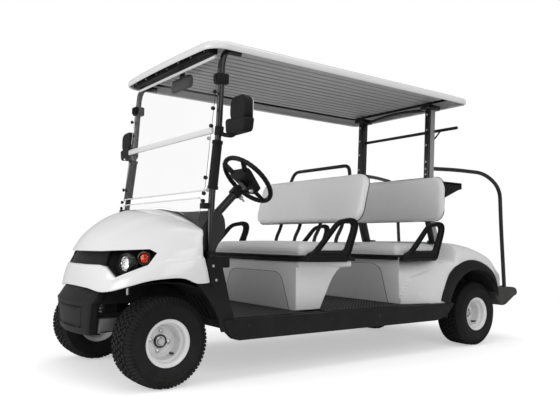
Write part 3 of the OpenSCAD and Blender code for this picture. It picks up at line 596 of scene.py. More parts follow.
def cowl_spot(turn, z, out=0.0):
    """The cowl's skin at a turn round the nose in degrees and a height, moved outwards by a distance."""
    side, turn = (1 if turn >= 0 else -1), abs(turn)
    c, s = max(0.0, cos(radians(turn))), sin(radians(turn))
    bend = squareness(z)
    edge = Vector((COWL_BACK + (NOSE + out) * c ** bend, (COWL_Y + out) * s ** bend))
    rear_y = (COWL_Y - CREST_INSET + out) * s
    rear = Vector((COWL_BACK + 0.039 - 0.037 * (rear_y / COWL_Y) ** 2, rear_y))
    low = cowl_low(turn)
    crest = COWL_TOP + out - CREST_FALL * rear_y ** 2
    rise = min(1.0, max(0.0, (z - low) / (crest - low))) ** CREST_BEND
    blend = max(0.0, 1 - rise * rise) ** 0.4167
    flat = rear.lerp(edge, blend)
    flat.x += through([(0.50, 0.004), (0.58, 0.022), (0.66, 0.038), (0.74, 0.030), (0.86, 0)],
                      z) * ease((turn - 72) / 18)
    return Vector((flat.x, side * flat.y, min(z, crest)))


def stations(marks, gap):
    """Turns at every mark, with even steps no wider than a gap between them."""
    out = []
    for a, b in zip(marks, marks[1:]):
        steps = max(1, round((b - a) / gap))
        out += [a + (b - a) * k / steps for k in range(steps)]
    return out + [marks[-1]]


def both_ways(turns):
    return [-t for t in reversed(turns) if t > 0] + turns


COWL_TURNS = both_ways(stations([0, 22, 27, 35, 45, 52, 55, POD_TIP, 65.5, 73.5, 90], 2.0))
POD_TURNS = [t for t in COWL_TURNS if abs(t) <= POD_TIP]


def lip_reach(turn):
    """How far the hood's lip stands out over the band."""
    return 0.010 * (1 - ease((abs(turn) - 12) / 40)) + 0.004 * (1 - ease((abs(turn) - 47) / 10))


def flare_reach(turn):
    """How far the arch flare stands out below its shelf."""
    return 0.014 * ease((abs(turn) - 26) / 20)


def lower_rows(turn):
    """Heights and outward moves from the lower edge up to the band's floor."""
    t = abs(turn)
    low, shelf, top = cowl_low(t), straight(FLARE_EDGE, t), straight(BAND_FLOOR, t)
    out = flare_reach(t)
    rows = [(low + 0.004, out - 0.016), (low, out - 0.004), (low + 0.002, out), (low + 0.008, out + 0.002)]
    rows += [(mix(low + 0.008, shelf, k / 5), out + 0.2 * out * sin(pi * k / 5)) for k in range(1, 5)]
    rows += [(shelf - 0.002, out), (shelf + 0.002, out * 0.8), (shelf + 0.005 + out * 0.5, out * 0.05)]
    rows += [(mix(shelf + 0.014, top, k / 3), 0.0) for k in range(3)]
    if t < POD_TIP:
        rows += [(top - 0.006, 0.0), (top - 0.001, -0.004), (top + 0.003, -0.014)]
    else:
        rows += [(top - 0.002, 0.0), (top - 0.001, 0.0), (top, 0.0)]
    return rows


def upper_rows(turn):
    """Heights and outward moves from the band's roof up to the crest, with the hood's raised middle."""
    t = abs(turn)
    lip, out = straight(BAND_ROOF, t), lip_reach(t)
    low = cowl_low(t)
    crest = COWL_TOP - CREST_FALL * ((COWL_Y - CREST_INSET) * sin(radians(t))) ** 2
    start = asin(min(1.0, max(0.0, (lip + 0.004 - low) / (crest - low))) ** CREST_BEND)
    rows = []
    if t < POD_TIP:
        rows += [(lip - 0.001, out - 0.014), (lip, out - 0.004), (lip + 0.002, out)]
    else:
        rows += [(lip, 0.0), (lip + 0.001, 0.0), (lip + 0.002, 0.0)]
    steps = 20
    for k in range(steps + 1):
        angle = start + (pi / 2 - start) * k / steps
        share = k / steps
        raised = 0.007 * ease((share - 0.04) / 0.2) * (1 - ease((t - 15 - 22 * share) / 10))
        raised *= 1 - ease((share - 0.8) / 0.2)
        valley = -0.005 * ease((t - 40) / 25) * (sin(pi * min(1.0, share / 0.45)) if share < 0.45 else 0)
        rows.append((low + (crest - low) * sin(angle) ** (1 / CREST_BEND),
                     out * (1 - ease(share / 0.45)) + raised + valley))
    return rows


def cowl_sheet(bm, turns, rows_at):
    """A sheet of the cowl's skin through rows of heights and outward moves at each turn."""
    table = [rows_at(t) for t in turns]
    across, along = len(turns) - 1, len(table[0]) - 1

    def spot(u, v):
        i, j = round(u * across), round(v * along)
        return cowl_spot(turns[i], *table[i][j])

    skin(bm, across, along, spot)


def thicken(ob, depth):
    """Gives a sheet its wall, inwards."""
    wall = ob.modifiers.new("wall", "SOLIDIFY")
    wall.thickness = depth
    wall.offset = -1
    wall.use_even_offset = False


def build_cowl():
    bm = bmesh.new()
    cowl_sheet(bm, COWL_TURNS, lower_rows)
    cowl_sheet(bm, COWL_TURNS, upper_rows)
    cowl = piece("hood_and_fenders", bm, WHITE_PANEL, replaces=["front_cowl"], sharp=32,
                 weld=1e-4)
    face_out(cowl, (COWL_BACK, 0, 0.6))
    thicken(cowl, WALL)


def face_out(ob, middle):
    """Turns an open shell's faces away from a point inside it, if they face towards it."""
    mesh = ob.data
    middle = Vector(middle)
    outward = sum((p.center - middle).dot(p.normal) * p.area for p in mesh.polygons)
    if outward < 0:
        mesh.flip_normals()


def band_depth(turn):
    """Depth of the black recess: shallow at the band, deep in the lamp pods, nothing at the tips."""
    t = abs(turn)
    return (0.012 + 0.044 * ease((t - 24) / 6)) * (1 - ease((t - 51) / 6.5)) + 0.003


def recess_rows(turn):
    t = abs(turn)
    low, high, deep = straight(BAND_FLOOR, t), straight(BAND_ROOF, t), band_depth(t)
    near = min(0.010, deep * 0.4)
    rows = [(low + 0.002, -near), (low + 0.003, -deep * 0.9), (low + 0.006, -deep)]
    rows += [(mix(low + 0.006, high - 0.005, k / 6), -deep) for k in range(1, 6)]
    rows += [(high - 0.005, -deep), (high - 0.002, -deep * 0.9), (high - 0.001, lip_reach(t) - 0.010)]
    return rows


def build_recess():
    bm = bmesh.new()
    cowl_sheet(bm, [t for t in POD_TURNS if abs(t) < POD_TIP - 0.5], recess_rows)
    recess = piece("nose_recess", bm, BLACK_PLASTIC, replaces=["nose_panel"], sharp=30)
    face_out(recess, (COWL_BACK, 0, 0.6))
    thicken(recess, THIN_WALL)
    bm = bmesh.new()
    for side in BOTH:
        turn = side * 25.6
        corners = [cowl_spot(turn, z, out) for z, out in ((0.600, -0.035), (0.600, -0.008), (0.676, -0.006),
                                                          (0.676, -0.035))]
        plate(bm, corners, (0.0, side * 0.006, 0), 0.001)
    piece("grille_end_bars", bm, BLACK_PLASTIC)


def lamp(name, place, aim, radius, lens_paint, fluted):
    """A round lamp: a bezel ring, a chrome bowl with its bulb and a domed, fluted lens."""
    axis = Vector(aim).normalized()
    place = Vector(place)
    bm = bmesh.new()
    r = radius
    turned_profile(bm, [(r - 0.002, -0.004), (r - 0.001, 0.004), (r + 0.002, 0.008), (r + 0.006, 0.007),
                        (r + 0.010, -0.002), (r + 0.011, -0.034), (r + 0.002, -0.036)], place, axis, 48)
    piece(name + "_bezel", bm, GLOSS_BLACK)
    bm = bmesh.new()
    bowl = [(r - 0.001, -0.001)] + [(r * cos(k * pi / 16) - 0.001, -0.003 - 0.03 * sin(k * pi / 16))
                                    for k in range(1, 7)]
    bowl += [(r * 0.2, -0.033), (r * 0.2, -0.022), (r * 0.13, -0.014), (0.0005, -0.012)]
    turned_profile(bm, bowl, place, axis, 48)
    ob = piece(name + "_reflector", bm, CHROME, sharp=50)
    face_toward(ob, place + axis)
    bm = bmesh.new()
    dome = [(r - 0.0005, -0.002), (r - 0.001, 0.001)]
    dome += [(r * cos(a) - 0.002, 0.001 + 0.009 * sin(a)) for a in [k * pi / 16 for k in range(1, 8)]] + [(0.0004,
            0.010)]
    dome += [(0.0004, 0.0075)] + [(r * cos(a) - 0.004,
                                   -0.001 + 0.0085 * sin(a)) for a in [k * pi / 16 for k in range(7, 0, -1)]]
    dome += [(r - 0.0035, -0.002), (r - 0.0005, -0.002)]
    turned_profile(bm, dome, place, axis, 48)
    if fluted:
        across = axis.cross(UP).normalized()
        for vert in bm.verts:
            offset = (vert.co - place)
            if offset.dot(axis) < 0.0068 and offset.dot(axis) > -0.001:
                continue
            vert.co += axis * 0.0007 * sin(offset.dot(across) / 0.0065 * 2 * pi)
    piece(name + "_lens", bm, lens_paint)


def face_toward(ob, point):
    """Turns a shell's faces towards a point, if they face away from it."""
    point = Vector(point)
    if sum((point - p.center).dot(p.normal) * p.area for p in ob.data.polygons) < 0:
        ob.data.flip_normals()


def build_lamps():
    for side, name in ((1, "left"), (-1, "right")):
        lamp(f"headlamp_{name}", (ahead(0.154), side * 0.378, 0.617), (1, side * 0.16, 0.02), 0.043, LENS, True)
        lamp(f"indicator_{name}", (ahead(0.082), side * 0.449, 0.644), (1, side * 0.8, 0.03), 0.028, AMBER, False)
        bm = bmesh.new()
        rib = [cowl_spot(side * 46.5, z, out) for z, out in ((0.590, -0.054), (0.592, -0.020), (0.684, -0.016),
                                                             (0.684, -0.054))]
        plate(bm, rib, (-0.006, side * 0.005, 0), 0.001)
        piece(f"pod_divider_{name}", bm, BLACK_PLASTIC)


# ---- Bumper ----

def build_bumper():
    """A moulded bumper, narrower below, with a ledge on top and a sunk panel on its face."""
    face_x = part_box("front_bumper")[1].x
    levels = [(0.239, 0.190, 0.052), (0.243, 0.206, 0.030), (0.252, 0.214, 0.022), (0.277, 0.221, 0.017),
              (0.285, 0.223, 0.016), (0.32, 0.233, 0.011), (0.355, 0.243, 0.007), (0.384, 0.250, 0.004),
              (0.392, 0.252, 0.003), (0.402, 0.258, 0.002), (0.410, 0.263, 0.000), (0.415, 0.265, 0.002),
              (0.421, 0.267, 0.008), (0.440, 0.266, 0.020), (0.460, 0.264, 0.033), (0.475, 0.262, 0.045),
              (0.483, 0.259, 0.054), (0.485, 0.254, 0.070), (0.484, 0.246, 0.11)]
    turns = 44
    flat_share, corner_share, turned_by = 0.82, 0.18, 0.35

    def spot(u, v):
        z, half, back = levels[round(v * (len(levels) - 1))]
        t = -1 + 2 * u
        y = half * max(-1, min(1, t / flat_share))
        x = face_x - back - 0.048 * (y / 0.275) ** 2
        if abs(t) > flat_share:
            past = (abs(t) - flat_share) / corner_share
            turn = min(1.0, past / turned_by) * pi / 2
            x -= 0.016 * (1 - cos(turn)) + max(0.0, past - turned_by) * 0.055
            y += (0.014 * sin(turn)) * (1 if t > 0 else -1)
        return Vector((x, y, z))

    bm = bmesh.new()
    skin(bm, turns, len(levels) - 1, spot)
    bmesh.ops.recalc_face_normals(bm, faces=bm.faces)
    panel = [f for f in bm.faces if 0.277 < f.calc_center_median().z < 0.388
             and abs(f.calc_center_median().y) < 0.198 - (0.39 - f.calc_center_median().z) * 0.28
             and f.calc_center_median().x > face_x - 0.06]
    bmesh.ops.inset_region(bm, faces=panel, thickness=0.004, depth=-0.008, use_even_offset=True)
    bmesh.ops.inset_region(bm, faces=panel, thickness=0.005, depth=0.005, use_even_offset=True)
    bumper = piece("bumper_moulding", bm, BLACK_PLASTIC, replaces=["front_bumper"], sharp=24)
    face_out(bumper, (AXLE, 0, 0.34))
    thicken(bumper, 0.006)
    bm = bmesh.new()
    for side in BOTH:
        box(bm, (ahead(0.21), side * 0.11 - 0.02, 0.262), (face_x - 0.03, side * 0.11 + 0.02, 0.32), 0.003)
        for x in (0.23, 0.25):
            bolt(bm, (ahead(x), side * 0.132, 0.291), (0, side, 0), 0.006)
    piece("bumper_brackets", bm, DARK_STEEL)


# ---- Wheels ----

def crown(y, half, radius):
    """Radius of the tread at a distance from the tyre's middle."""
    return radius - 0.006 * (y / half) ** 2 - 0.018 * max(0.0, abs(y) / half - 0.86) / 0.14


def tread_block(bm, turn, y, wide, long, radius, half, skew, depth, drop=0.0):
    """One rubber block standing on the tread, skewed, with its top edges softened."""
    made = bmesh.ops.create_cube(bm, size=1)["verts"]
    for vert in made:
        top = vert.co.z > 0
        side, fore = vert.co.x, vert.co.y
        across = y + side * wide * (0.92 if top else 1.08)
        r = crown(across, half, radius) - (0 if top else depth) - drop * max(0.0, side * (1 if y > 0 else -1) + 0.5)
        angle = turn + (fore * long * (0.86 if top else 1.08) + side * skew) / radius
        vert.co = Vector((r * sin(angle), across, r * cos(angle)))
    return made


def build_tyre(name, node_name, body):
    low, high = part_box(node_name)
    centre = (low + high) / 2
    half, radius = (high.y - low.y) / 2, (high.z - low.z) / 2
    depth = 0.0075
    bm = bmesh.new()
    bead = 0.1025
    side = [(bead, -half + 0.030), (bead + 0.010, -half + 0.0165), (bead + 0.0155, -half + 0.0125),
            (bead + 0.019, -half + 0.009), (bead + 0.0215, -half + 0.0065), (bead + 0.0235, -half + 0.0068),
            (bead + 0.027, -half + 0.0045), (0.145, -half + 0.0015), (0.158, -half), (0.160, -half - 0.0003),
            (0.162, -half - 0.0003), (0.164, -half + 0.0002), (0.178, -half + 0.0022), (0.180, -half + 0.0016),
            (0.183, -half + 0.0018), (0.185, -half + 0.0035), (0.197, -half + 0.0080),
            (0.209, -half + 0.0155), (0.2155, -half + 0.0225)]
    over = [(crown(y, half, radius) - depth, y) for y in (-0.078, -0.045, -0.015, 0.015, 0.045, 0.078)]
    profile = side + over + [(r, -a) for r, a in reversed(side)]
    turned_profile(bm, profile, (0, 0, 0), (0, 1, 0), 96)
    pitches = 46
    for y, wide, long, skew, shift in ((0.0, 0.021, 0.0235, 0.007, 0.0), (0.0285, 0.024, 0.0225, -0.007, 0.5),
                                       (-0.0285, 0.024, 0.0225, 0.007, 0.5), (0.0585, 0.024, 0.0225, 0.006, 0.0),
                                       (-0.0585, 0.024, 0.0225, -0.006, 0.0)):
        for k in range(pitches):
            turn = 2 * pi * (k + shift + (0.07 if k % 2 else 0)) / pitches
            made = tread_block(bm, turn, y, wide, long, radius, half, skew, depth)
            soften(bm, made, 0.0014)
    for sign in BOTH:
        for k in range(pitches * 3 // 2):
            turn = 2 * pi * (k + 0.25 * sign) / (pitches * 1.5)
            made = tread_block(bm, turn, sign * 0.0895, 0.025, 0.0145 if k % 2 else 0.0135, radius, half, 0.002,
                               depth + 0.004, 0.012)
            soften(bm, made, 0.0014)
    bmesh.ops.translate(bm, verts=bm.verts, vec=centre)
    piece(name, bm, TYRE, body=body, replaces=[node_name], sharp=50)


def soften(bm, verts, amount):
    """A small bevel along every edge of a block."""
    edges = list({e for v in verts for e in v.link_edges})
    bmesh.ops.bevel(bm, geom=edges, offset=amount, offset_type="OFFSET", segments=1, profile=0.5, affect="EDGES",
                    material=-1, clamp_overlap=True)


def build_rim(name, node_name, body):
    low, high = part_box(node_name)
    middle = (low + high) / 2
    side = 1 if middle.y > 0 else -1
    edge = 0.0965
    bead = 0.1017
    nut_circle, valve_circle = 0.0508, 0.0850
    axis = (0, side, 0)
    outer = [(0.114, edge - 0.004), (0.1155, edge), (0.118, edge + 0.0012), (0.1195, edge - 0.001),
             (0.1185, edge - 0.004), (0.113, edge - 0.007), (0.106, edge - 0.009), (0.103, edge - 0.013)]
    inner_edge = [(r, -a) for r, a in reversed(outer)]
    dish = [(0.0165, -0.004), (0.030, -0.004), (0.0345, -0.007), (0.040, -0.010), (0.060, -0.011), (0.066, -0.009),
            (0.070, -0.005), (0.0745, -0.005), (0.079, -0.011), (0.083, -0.009), (0.0860, 0.0), (0.0872, 0.020),
            (0.0880, 0.046), (0.0890, 0.052), (0.0915, 0.056), (0.0960, 0.058), (0.0980, 0.061), (0.0990, 0.078),
            (0.1005, 0.085), (0.106, 0.0905)]
    back = [(0.098, -edge + 0.014), (0.0965, -0.060), (0.0905, -0.046), (0.0888, -0.024), (0.082, -0.019),
            (0.066, -0.018), (0.034, -0.018), (0.0165, -0.012), (0.0165, -0.004)]
    profile = dish + outer + [(bead, edge - 0.025), (bead - 0.004, edge - 0.040), (bead - 0.006, 0.0),
                              (bead - 0.004, -edge + 0.04), (bead, -edge + 0.025)] + inner_edge + back
    bm = bmesh.new()
    turned_profile(bm, profile, middle, axis, 80)
    piece(name, bm, RIM_PAINT, body=body, replaces=[node_name], sharp=40)
    bm = bmesh.new()
    turned_profile(bm, [(0.0330, -0.006), (0.0345, 0.006), (0.0335, 0.011), (0.0295, 0.0125), (0.0265, 0.011),
                        (0.0262, -0.006)], middle, axis, 48)
    piece(name + "_hub_ring", bm, GLOSS_BLACK, body=body)
    bm = bmesh.new()
    turned_profile(bm, [(0.0268, -0.004), (0.0264, 0.010), (0.0235, 0.012), (0.0205, 0.0112), (0.0195, 0.014),
                        (0.0185, 0.019), (0.0165, 0.0215), (0.010, 0.0222), (0.0004, 0.0224), (0.0004, 0.0192),
                        (0.015, 0.0188), (0.0162, -0.004)], middle, axis, 48)
    for k in range(4):
        angle = radians(100) + k * pi / 2
        place = middle + Vector((nut_circle * cos(angle), side * -0.0105, nut_circle * sin(angle)))
        lug_nut(bm, place, axis)
    piece(name + "_nuts_and_cap", bm, ZINC, body=body)
    bm = bmesh.new()
    lean = radians(40)
    foot = middle + Vector((-valve_circle * sin(lean), side * 0.010, -valve_circle * cos(lean)))
    inward = Vector((sin(lean) * 0.2, side, cos(lean) * 0.2)).normalized()
    tube(bm, [foot, foot + inward * 0.012, foot + inward * 0.030], lambda v: 0.0062 - 0.0018 * v, 16,
         across=(1, 0, 0.2))
    tube(bm, [foot + inward * 0.027, foot + inward * 0.040], 0.0048, 16, across=(1, 0, 0.2))
    piece(name + "_valve", bm, BLACK_PLASTIC, body=body)


def lug_nut(bm, place, axis):
    """A wheel nut with its cone seat and the stud's end."""
    stack(bm, place, axis, ((0.0125, 0.0115, -0.001, 0.003, 24), (0.0105, 0.0100, 0.003, 0.013, 6),
                            (0.0095, 0.0050, 0.013, 0.0155, 24), (0.0045, 0.0040, 0.015, 0.021, 16)))


def build_wheels():
    for end in ("front", "rear"):
        for side in ("left", "right"):
            body = f"wheel_{end}_{side}"
            build_tyre(f"tread_tyre_{end}_{side}", f"tyre_{end}_{side}", body)
            build_rim(f"steel_wheel_{end}_{side}", f"rim_{end}_{side}", body)


# ---- Roof ----

ROOF_LOW, ROOF_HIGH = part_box("roof")
LINER_LOW, LINER_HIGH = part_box("roof_liner")


def roof_ring(u, inset, z):
    """A point of the roof's outline at a share of its turn, moved in by a distance; the corners are rounded."""
    cx, cy = (ROOF_LOW.x + ROOF_HIGH.x) / 2, 0.0
    ax, ay = (ROOF_HIGH.x - ROOF_LOW.x) / 2, (ROOF_HIGH.y - ROOF_LOW.y) / 2
    quarter = (u * 4) % 4
    which, t = int(quarter), quarter - int(quarter)
    sx, sy = ((1, 1), (-1, 1), (-1, -1), (1, -1))[which]
    if which % 2:
        t = 1 - t
    reach = 0.095 if sx > 0 else 0.045
    flat_y, flat_x = ay - reach, ax - reach
    flat = 0.3
    if t < flat:
        x, y = ax, flat_y * t / flat
    elif t > 1 - flat:
        x, y = flat_x * (1 - t) / flat, ay
    else:
        a = (t - flat) / 0.4 * pi / 2
        x, y = flat_x + reach * cos(a), flat_y + reach * sin(a)
    bow = 0.018 * (1 - (y / ay) ** 2) if sx > 0 else 0.010 * (1 - (y / ay) ** 2)
    x = x - 0.018 + bow if sx > 0 else x
    scale_x, scale_y = (ax - inset) / ax, (ay - inset) / ay
    return Vector((cx + sx * x * scale_x, cy + sy * y * scale_y, z))


def build_roof():
    base, top = ROOF_LOW.z, ROOF_HIGH.z
    rise = top - base
    rows = [(0.013, 0.010), (0.011, 0.004), (0.006, 0.0), (0.0015, 0.003), (0.0, 0.010), (0.0, 0.022), (0.002, 0.032),
            (0.007, 0.040), (0.016, 0.046), (0.034, 0.0505), (0.050, 0.054), (0.056, 0.060), (0.064, 0.066),
            (0.085, 0.070), (0.12, 0.0765), (0.17, 0.083), (0.23, 0.089), (0.30, 0.0955), (0.37, 0.1005),
            (0.44, 0.104), (0.50, 0.1065), (0.55, 0.1077), (0.583, 0.108)]

    def spot(u, v):
        inset, height = rows[round(v * (len(rows) - 1))]
        return roof_ring(u, inset, base + height / rows[-1][1] * rise)

    bm = bmesh.new()
    skin(bm, 160, len(rows) - 1, spot)
    bmesh.ops.remove_doubles(bm, verts=bm.verts, dist=1e-5)
    hole = [e for e in bm.edges if e.is_boundary and e.verts[0].co.z > top - 0.004]
    bmesh.ops.holes_fill(bm, edges=hole, sides=0)
    roof = piece("roof_shell", bm, WHITE_PANEL, replaces=["roof"], sharp=50)
    face_out(roof, (0, 0, base + 0.04))
    thicken(roof, 0.005)


def build_liner():
    """The ribbed liner: long rounded ribs inside a flat rim, with a dark seal round its edge."""
    z = LINER_LOW.z + 0.034
    edge_y, edge_x = LINER_HIGH.y - 0.05, LINER_HIGH.x - 0.07
    back_x = LINER_LOW.x + 0.07
    ribs, steps = LINER_RIBS, 10
    pitch = 2 * (edge_y - 0.03) / ribs

    def spot(u, v):
        y = -edge_y + 2 * edge_y * u
        x = mix(back_x, edge_x, v)
        inside = (abs(y) < edge_y - 0.03)
        phase = (y + edge_y - 0.03) / pitch
        raised = min(1.0, abs(phase - round(phase)) / 0.13)
        near_end = max(0.0, 0.12 - min(x - back_x, edge_x - x)) / 0.12
        y *= 1 - 0.10 * (1 - sqrt(max(0.0, 1 - near_end * near_end)))
        ends = min(1.0, (x - back_x) / 0.05, (edge_x - x) / 0.05)
        drop = 0.017 * raised * ease(ends) if inside else 0.0
        return Vector((x, y, z - 0.002 + 0.010 - drop))

    bm = bmesh.new()
    skin(bm, ribs * steps + 8, 40, spot)
    liner = piece("ribbed_roof_liner", bm, LINER, replaces=["roof_liner"], sharp=60)
    face_toward(liner, (0, 0, 0))
    thicken(liner, THIN_WALL)

    rise = ((0.010, 0.005), (0.015, 0.026), (0.026, 0.040), (0.046, 0.046), (0.078, 0.0485))

    def rim(u, v):
        inset, height = rise[round(v * 4)]
        return roof_ring(u, inset, base_z + height)

    base_z = ROOF_LOW.z
    bm = bmesh.new()
    skin(bm, 160, 4, rim)
    flat = piece("roof_underside_rim", bm, ROOF_UNDER, sharp=60)
    face_toward(flat, (0, 0, 0))
    thicken(flat, THIN_WALL)
    bm = bmesh.new()
    corners = [(edge_x, edge_y), (back_x, edge_y), (back_x, -edge_y), (edge_x, -edge_y)]
    path = rounded([(x, y, z - 0.003) for x, y in corners], 0.07, 6)
    tube(bm, path, 0.010, 10, closed=True, across=(0, 0, 1))
    piece("liner_seal", bm, BLACK_PLASTIC)


def loft(bm, loops):
    """A skin through closed loops of points, with its ends filled."""
    loops = [[Vector(p) for p in loop] for loop in loops]
    old = set(bm.verts)
    along, turn = len(loops) - 1, len(loops[0])
    skin(bm, turn, along, lambda u, v: loops[round(v * along)][round(u * turn) % turn])
    bmesh.ops.remove_doubles(bm, verts=[v for v in bm.verts if v not in old], dist=1e-6)
    rim = [e for e in bm.edges if e.is_boundary and e.verts[0] not in old]
    bmesh.ops.holes_fill(bm, edges=rim, sides=0)


def evenly(points, count):
    """Points at even distances along a closed outline."""
    points = [Vector(p) for p in points]
    ends = points[1:] + points[:1]
    lengths = [(b - a).length for a, b in zip(points, ends)]
    total, out, at, k = sum(lengths), [], 0.0, 0
    for i in range(count):
        goal = total * i / count
        while at + lengths[k] < goal:
            at += lengths[k]
            k += 1
        out.append(points[k].lerp(ends[k], (goal - at) / max(lengths[k], 1e-9)))
    return out


def side_on(points, y=0.0):
    """Outline points given as (distance from the front axle, height), set at a distance from the middle."""
    return [(ahead(x), y, z) for x, z in points]


def front_on(points, x, side=1):
    """Outline points given as (sideways, height), set at a distance from the front axle."""
    return [(ahead(x), side * y, z) for y, z in points]


def knob(bm, place, axis, radius, height):
    """A small round screw knob on its stem."""
    stem = radius * 0.55
    stack(bm, place, axis, ((stem, stem * 0.93, 0, height * 0.5, 12),
                            (radius, radius * 0.93, height * 0.4, height, 10)))


# ---- Windscreen and its bars ----

def screen_x(z):
    """Where the screen's middle lies at a height: it leans back as it rises."""
    return ahead(mix(-0.212, -0.287, (z - 1.0) / 0.74))


def pane(name, outline, out):
    """A clear pane from an outline of (sideways, height) points, set forwards of the screen's middle."""
    bm = bmesh.new()
    plate(bm, [(screen_x(z) + out, y, z) for y, z in outline], (0.0045, 0, 0), 0.001, 1)
    piece(name, bm, SCREEN, replaces=["windscreen"] if name == "middle_pane" else ())


def build_windscreen():
    def corners(half, low, high, radius):
        return [(p.x, p.y) for p in rounded([(-half, low, 0), (half, low, 0), (half, high, 0), (-half, high, 0)],
                                            radius, 5)]

    pane("upper_pane", corners(0.535, 1.338, 1.735, 0.025), 0.0)
    pane("middle_pane", corners(0.538, 1.006, 1.318, 0.02), 0.002)
    rim = [(y, 0.929 - CREST_FALL * y * y) for y in [0.525 - k * 0.035 for k in range(31)]]
    top = [(p.x, p.y) for p in rounded([(-0.525, 0.84, 0), (-0.525, 0.965, 0), (0.525, 0.965, 0), (0.525, 0.84, 0)],
                                       0.03, 5)]
    pane("lower_pane", rim + top[6:-6], 0.010)
    bm = bmesh.new()
    for z, tall, out in ((1.305, 0.034, 0.0), (1.322, 0.004, 0.003), (1.311, 0.004, 0.003)):
        x = screen_x(z)
        box(bm, (x - 0.008 + out, -0.548, z), (x + 0.010 + out, 0.548, z + tall), 0.0035 if tall > 0.01 else 0.0015)
    for z, out, half in ((0.999, 0.001, 0.54), (0.960, 0.010, 0.505)):
        x = screen_x(z) + out
        box(bm, (x - 0.002, -half, z), (x + 0.0065, half, z + 0.007), 0.001)
    x = screen_x(1.735)
    tube(bm, [(x + 0.004, -0.50, 1.738), (x + 0.004, 0.50, 1.738)], 0.009, 18, across=(0, 0, 1))
    piece("pale_screen_bars", bm, BAR_PALE)
    bm = bmesh.new()
    clamp_y = 0.545
    for side in BOTH:
        for z in (0.945, 0.985, 1.068, 1.345, 1.44, 1.53):
            knob(bm, (screen_x(z) + 0.002, side * clamp_y, z), (1, side * 0.2, 0), 0.011, 0.018)
        box(bm, (ahead(-0.232), side * clamp_y - 0.022, 0.905), (ahead(-0.186), side * clamp_y + 0.022, 0.935), 0.005)
    box(bm, (ahead(-0.296), -0.50, 1.752), (ahead(-0.236), 0.50, 1.800), 0.006)
    piece("screen_clamps_and_header", bm, BLACK_PLASTIC)
    bm = bmesh.new()
    for k in range(7):
        bolt(bm, (ahead(-0.236), k * 0.15 - 0.45, 1.772), (1, 0, 0), 0.0055)
    piece("header_bolts", bm, ZINC)


# ---- Front posts ----

def build_posts():
    path = [(-0.234, 0.562, 0.560), (-0.232, 0.562, 0.720), (-0.240, 0.556, 0.975), (-0.281, 0.548, 1.329),
            (-0.299, 0.538, 1.700), (-0.322, 0.534, 1.768), (-0.420, 0.530, 1.772)]
    bm = bmesh.new()
    for side in BOTH:
        line = rounded([(ahead(x), side * y, z) for x, y, z in path], 0.07, 6, closed=False)
        tube(bm, line, 0.0175, 24)
    piece("front_post_tubes", bm, GLOSS_BLACK, replaces=["front_posts"], sharp=40)
    bm = bmesh.new()
    for side in BOTH:
        low, high = Vector((ahead(-0.245), side * 0.5553, 1.010)), Vector((ahead(-0.274), side * 0.5495, 1.268))
        line = [low.lerp(high, k / 12) for k in range(13)]
        tube(bm, line, lambda v: 0.026 - 0.005 * (max(0.0, abs(v - 0.5) - 0.46) / 0.04), 20)
        for k in range(2):
            at = low.lerp(high, 0.03 + 0.94 * k)
            tube(bm, [at - (high - low) * 0.03, at + (high - low) * 0.03], 0.029, 20)
    piece("post_sleeves", bm, BLACK_PLASTIC)
    bm = bmesh.new()
    for side in BOTH:
        at = Vector((ahead(-0.297), side * 0.541, 1.607))
        box(bm, at - Vector((0.033, 0.026, 0.029)), at + Vector((0.036, 0.026, 0.029)), 0.007)
        box(bm, at + Vector((0.030, -0.012, -0.020)), at + Vector((0.046, 0.012, 0.020)), 0.003)
        at = Vector((ahead(-0.234), side * 0.562, 0.665))
        tube(bm, [at, at + Vector((0, 0, 0.018))], 0.027, 24)
        tab = rounded(side_on([(-0.188, 0.648), (-0.264, 0.642), (-0.280, 0.520), (-0.226, 0.496)], side * 0.588),
                      0.026, 6)
        plate(bm, tab, (0, side * 0.010, 0), 0.002)
    piece("post_clamps_and_feet", bm, BLACK_PLASTIC)
    bm = bmesh.new()
    for side in BOTH:
        for z in (1.275, 1.003):
            bolt(bm, (ahead(-0.215), side * 0.556, z), (1, side, 0), 0.007)
        for x, z in ((-0.233, 0.608), (-0.252, 0.535)):
            bolt(bm, (ahead(x), side * 0.598, z), (0, side, 0), 0.0052, 0.005)
    piece("post_bolts", bm, ZINC)


# ---- Mirrors ----

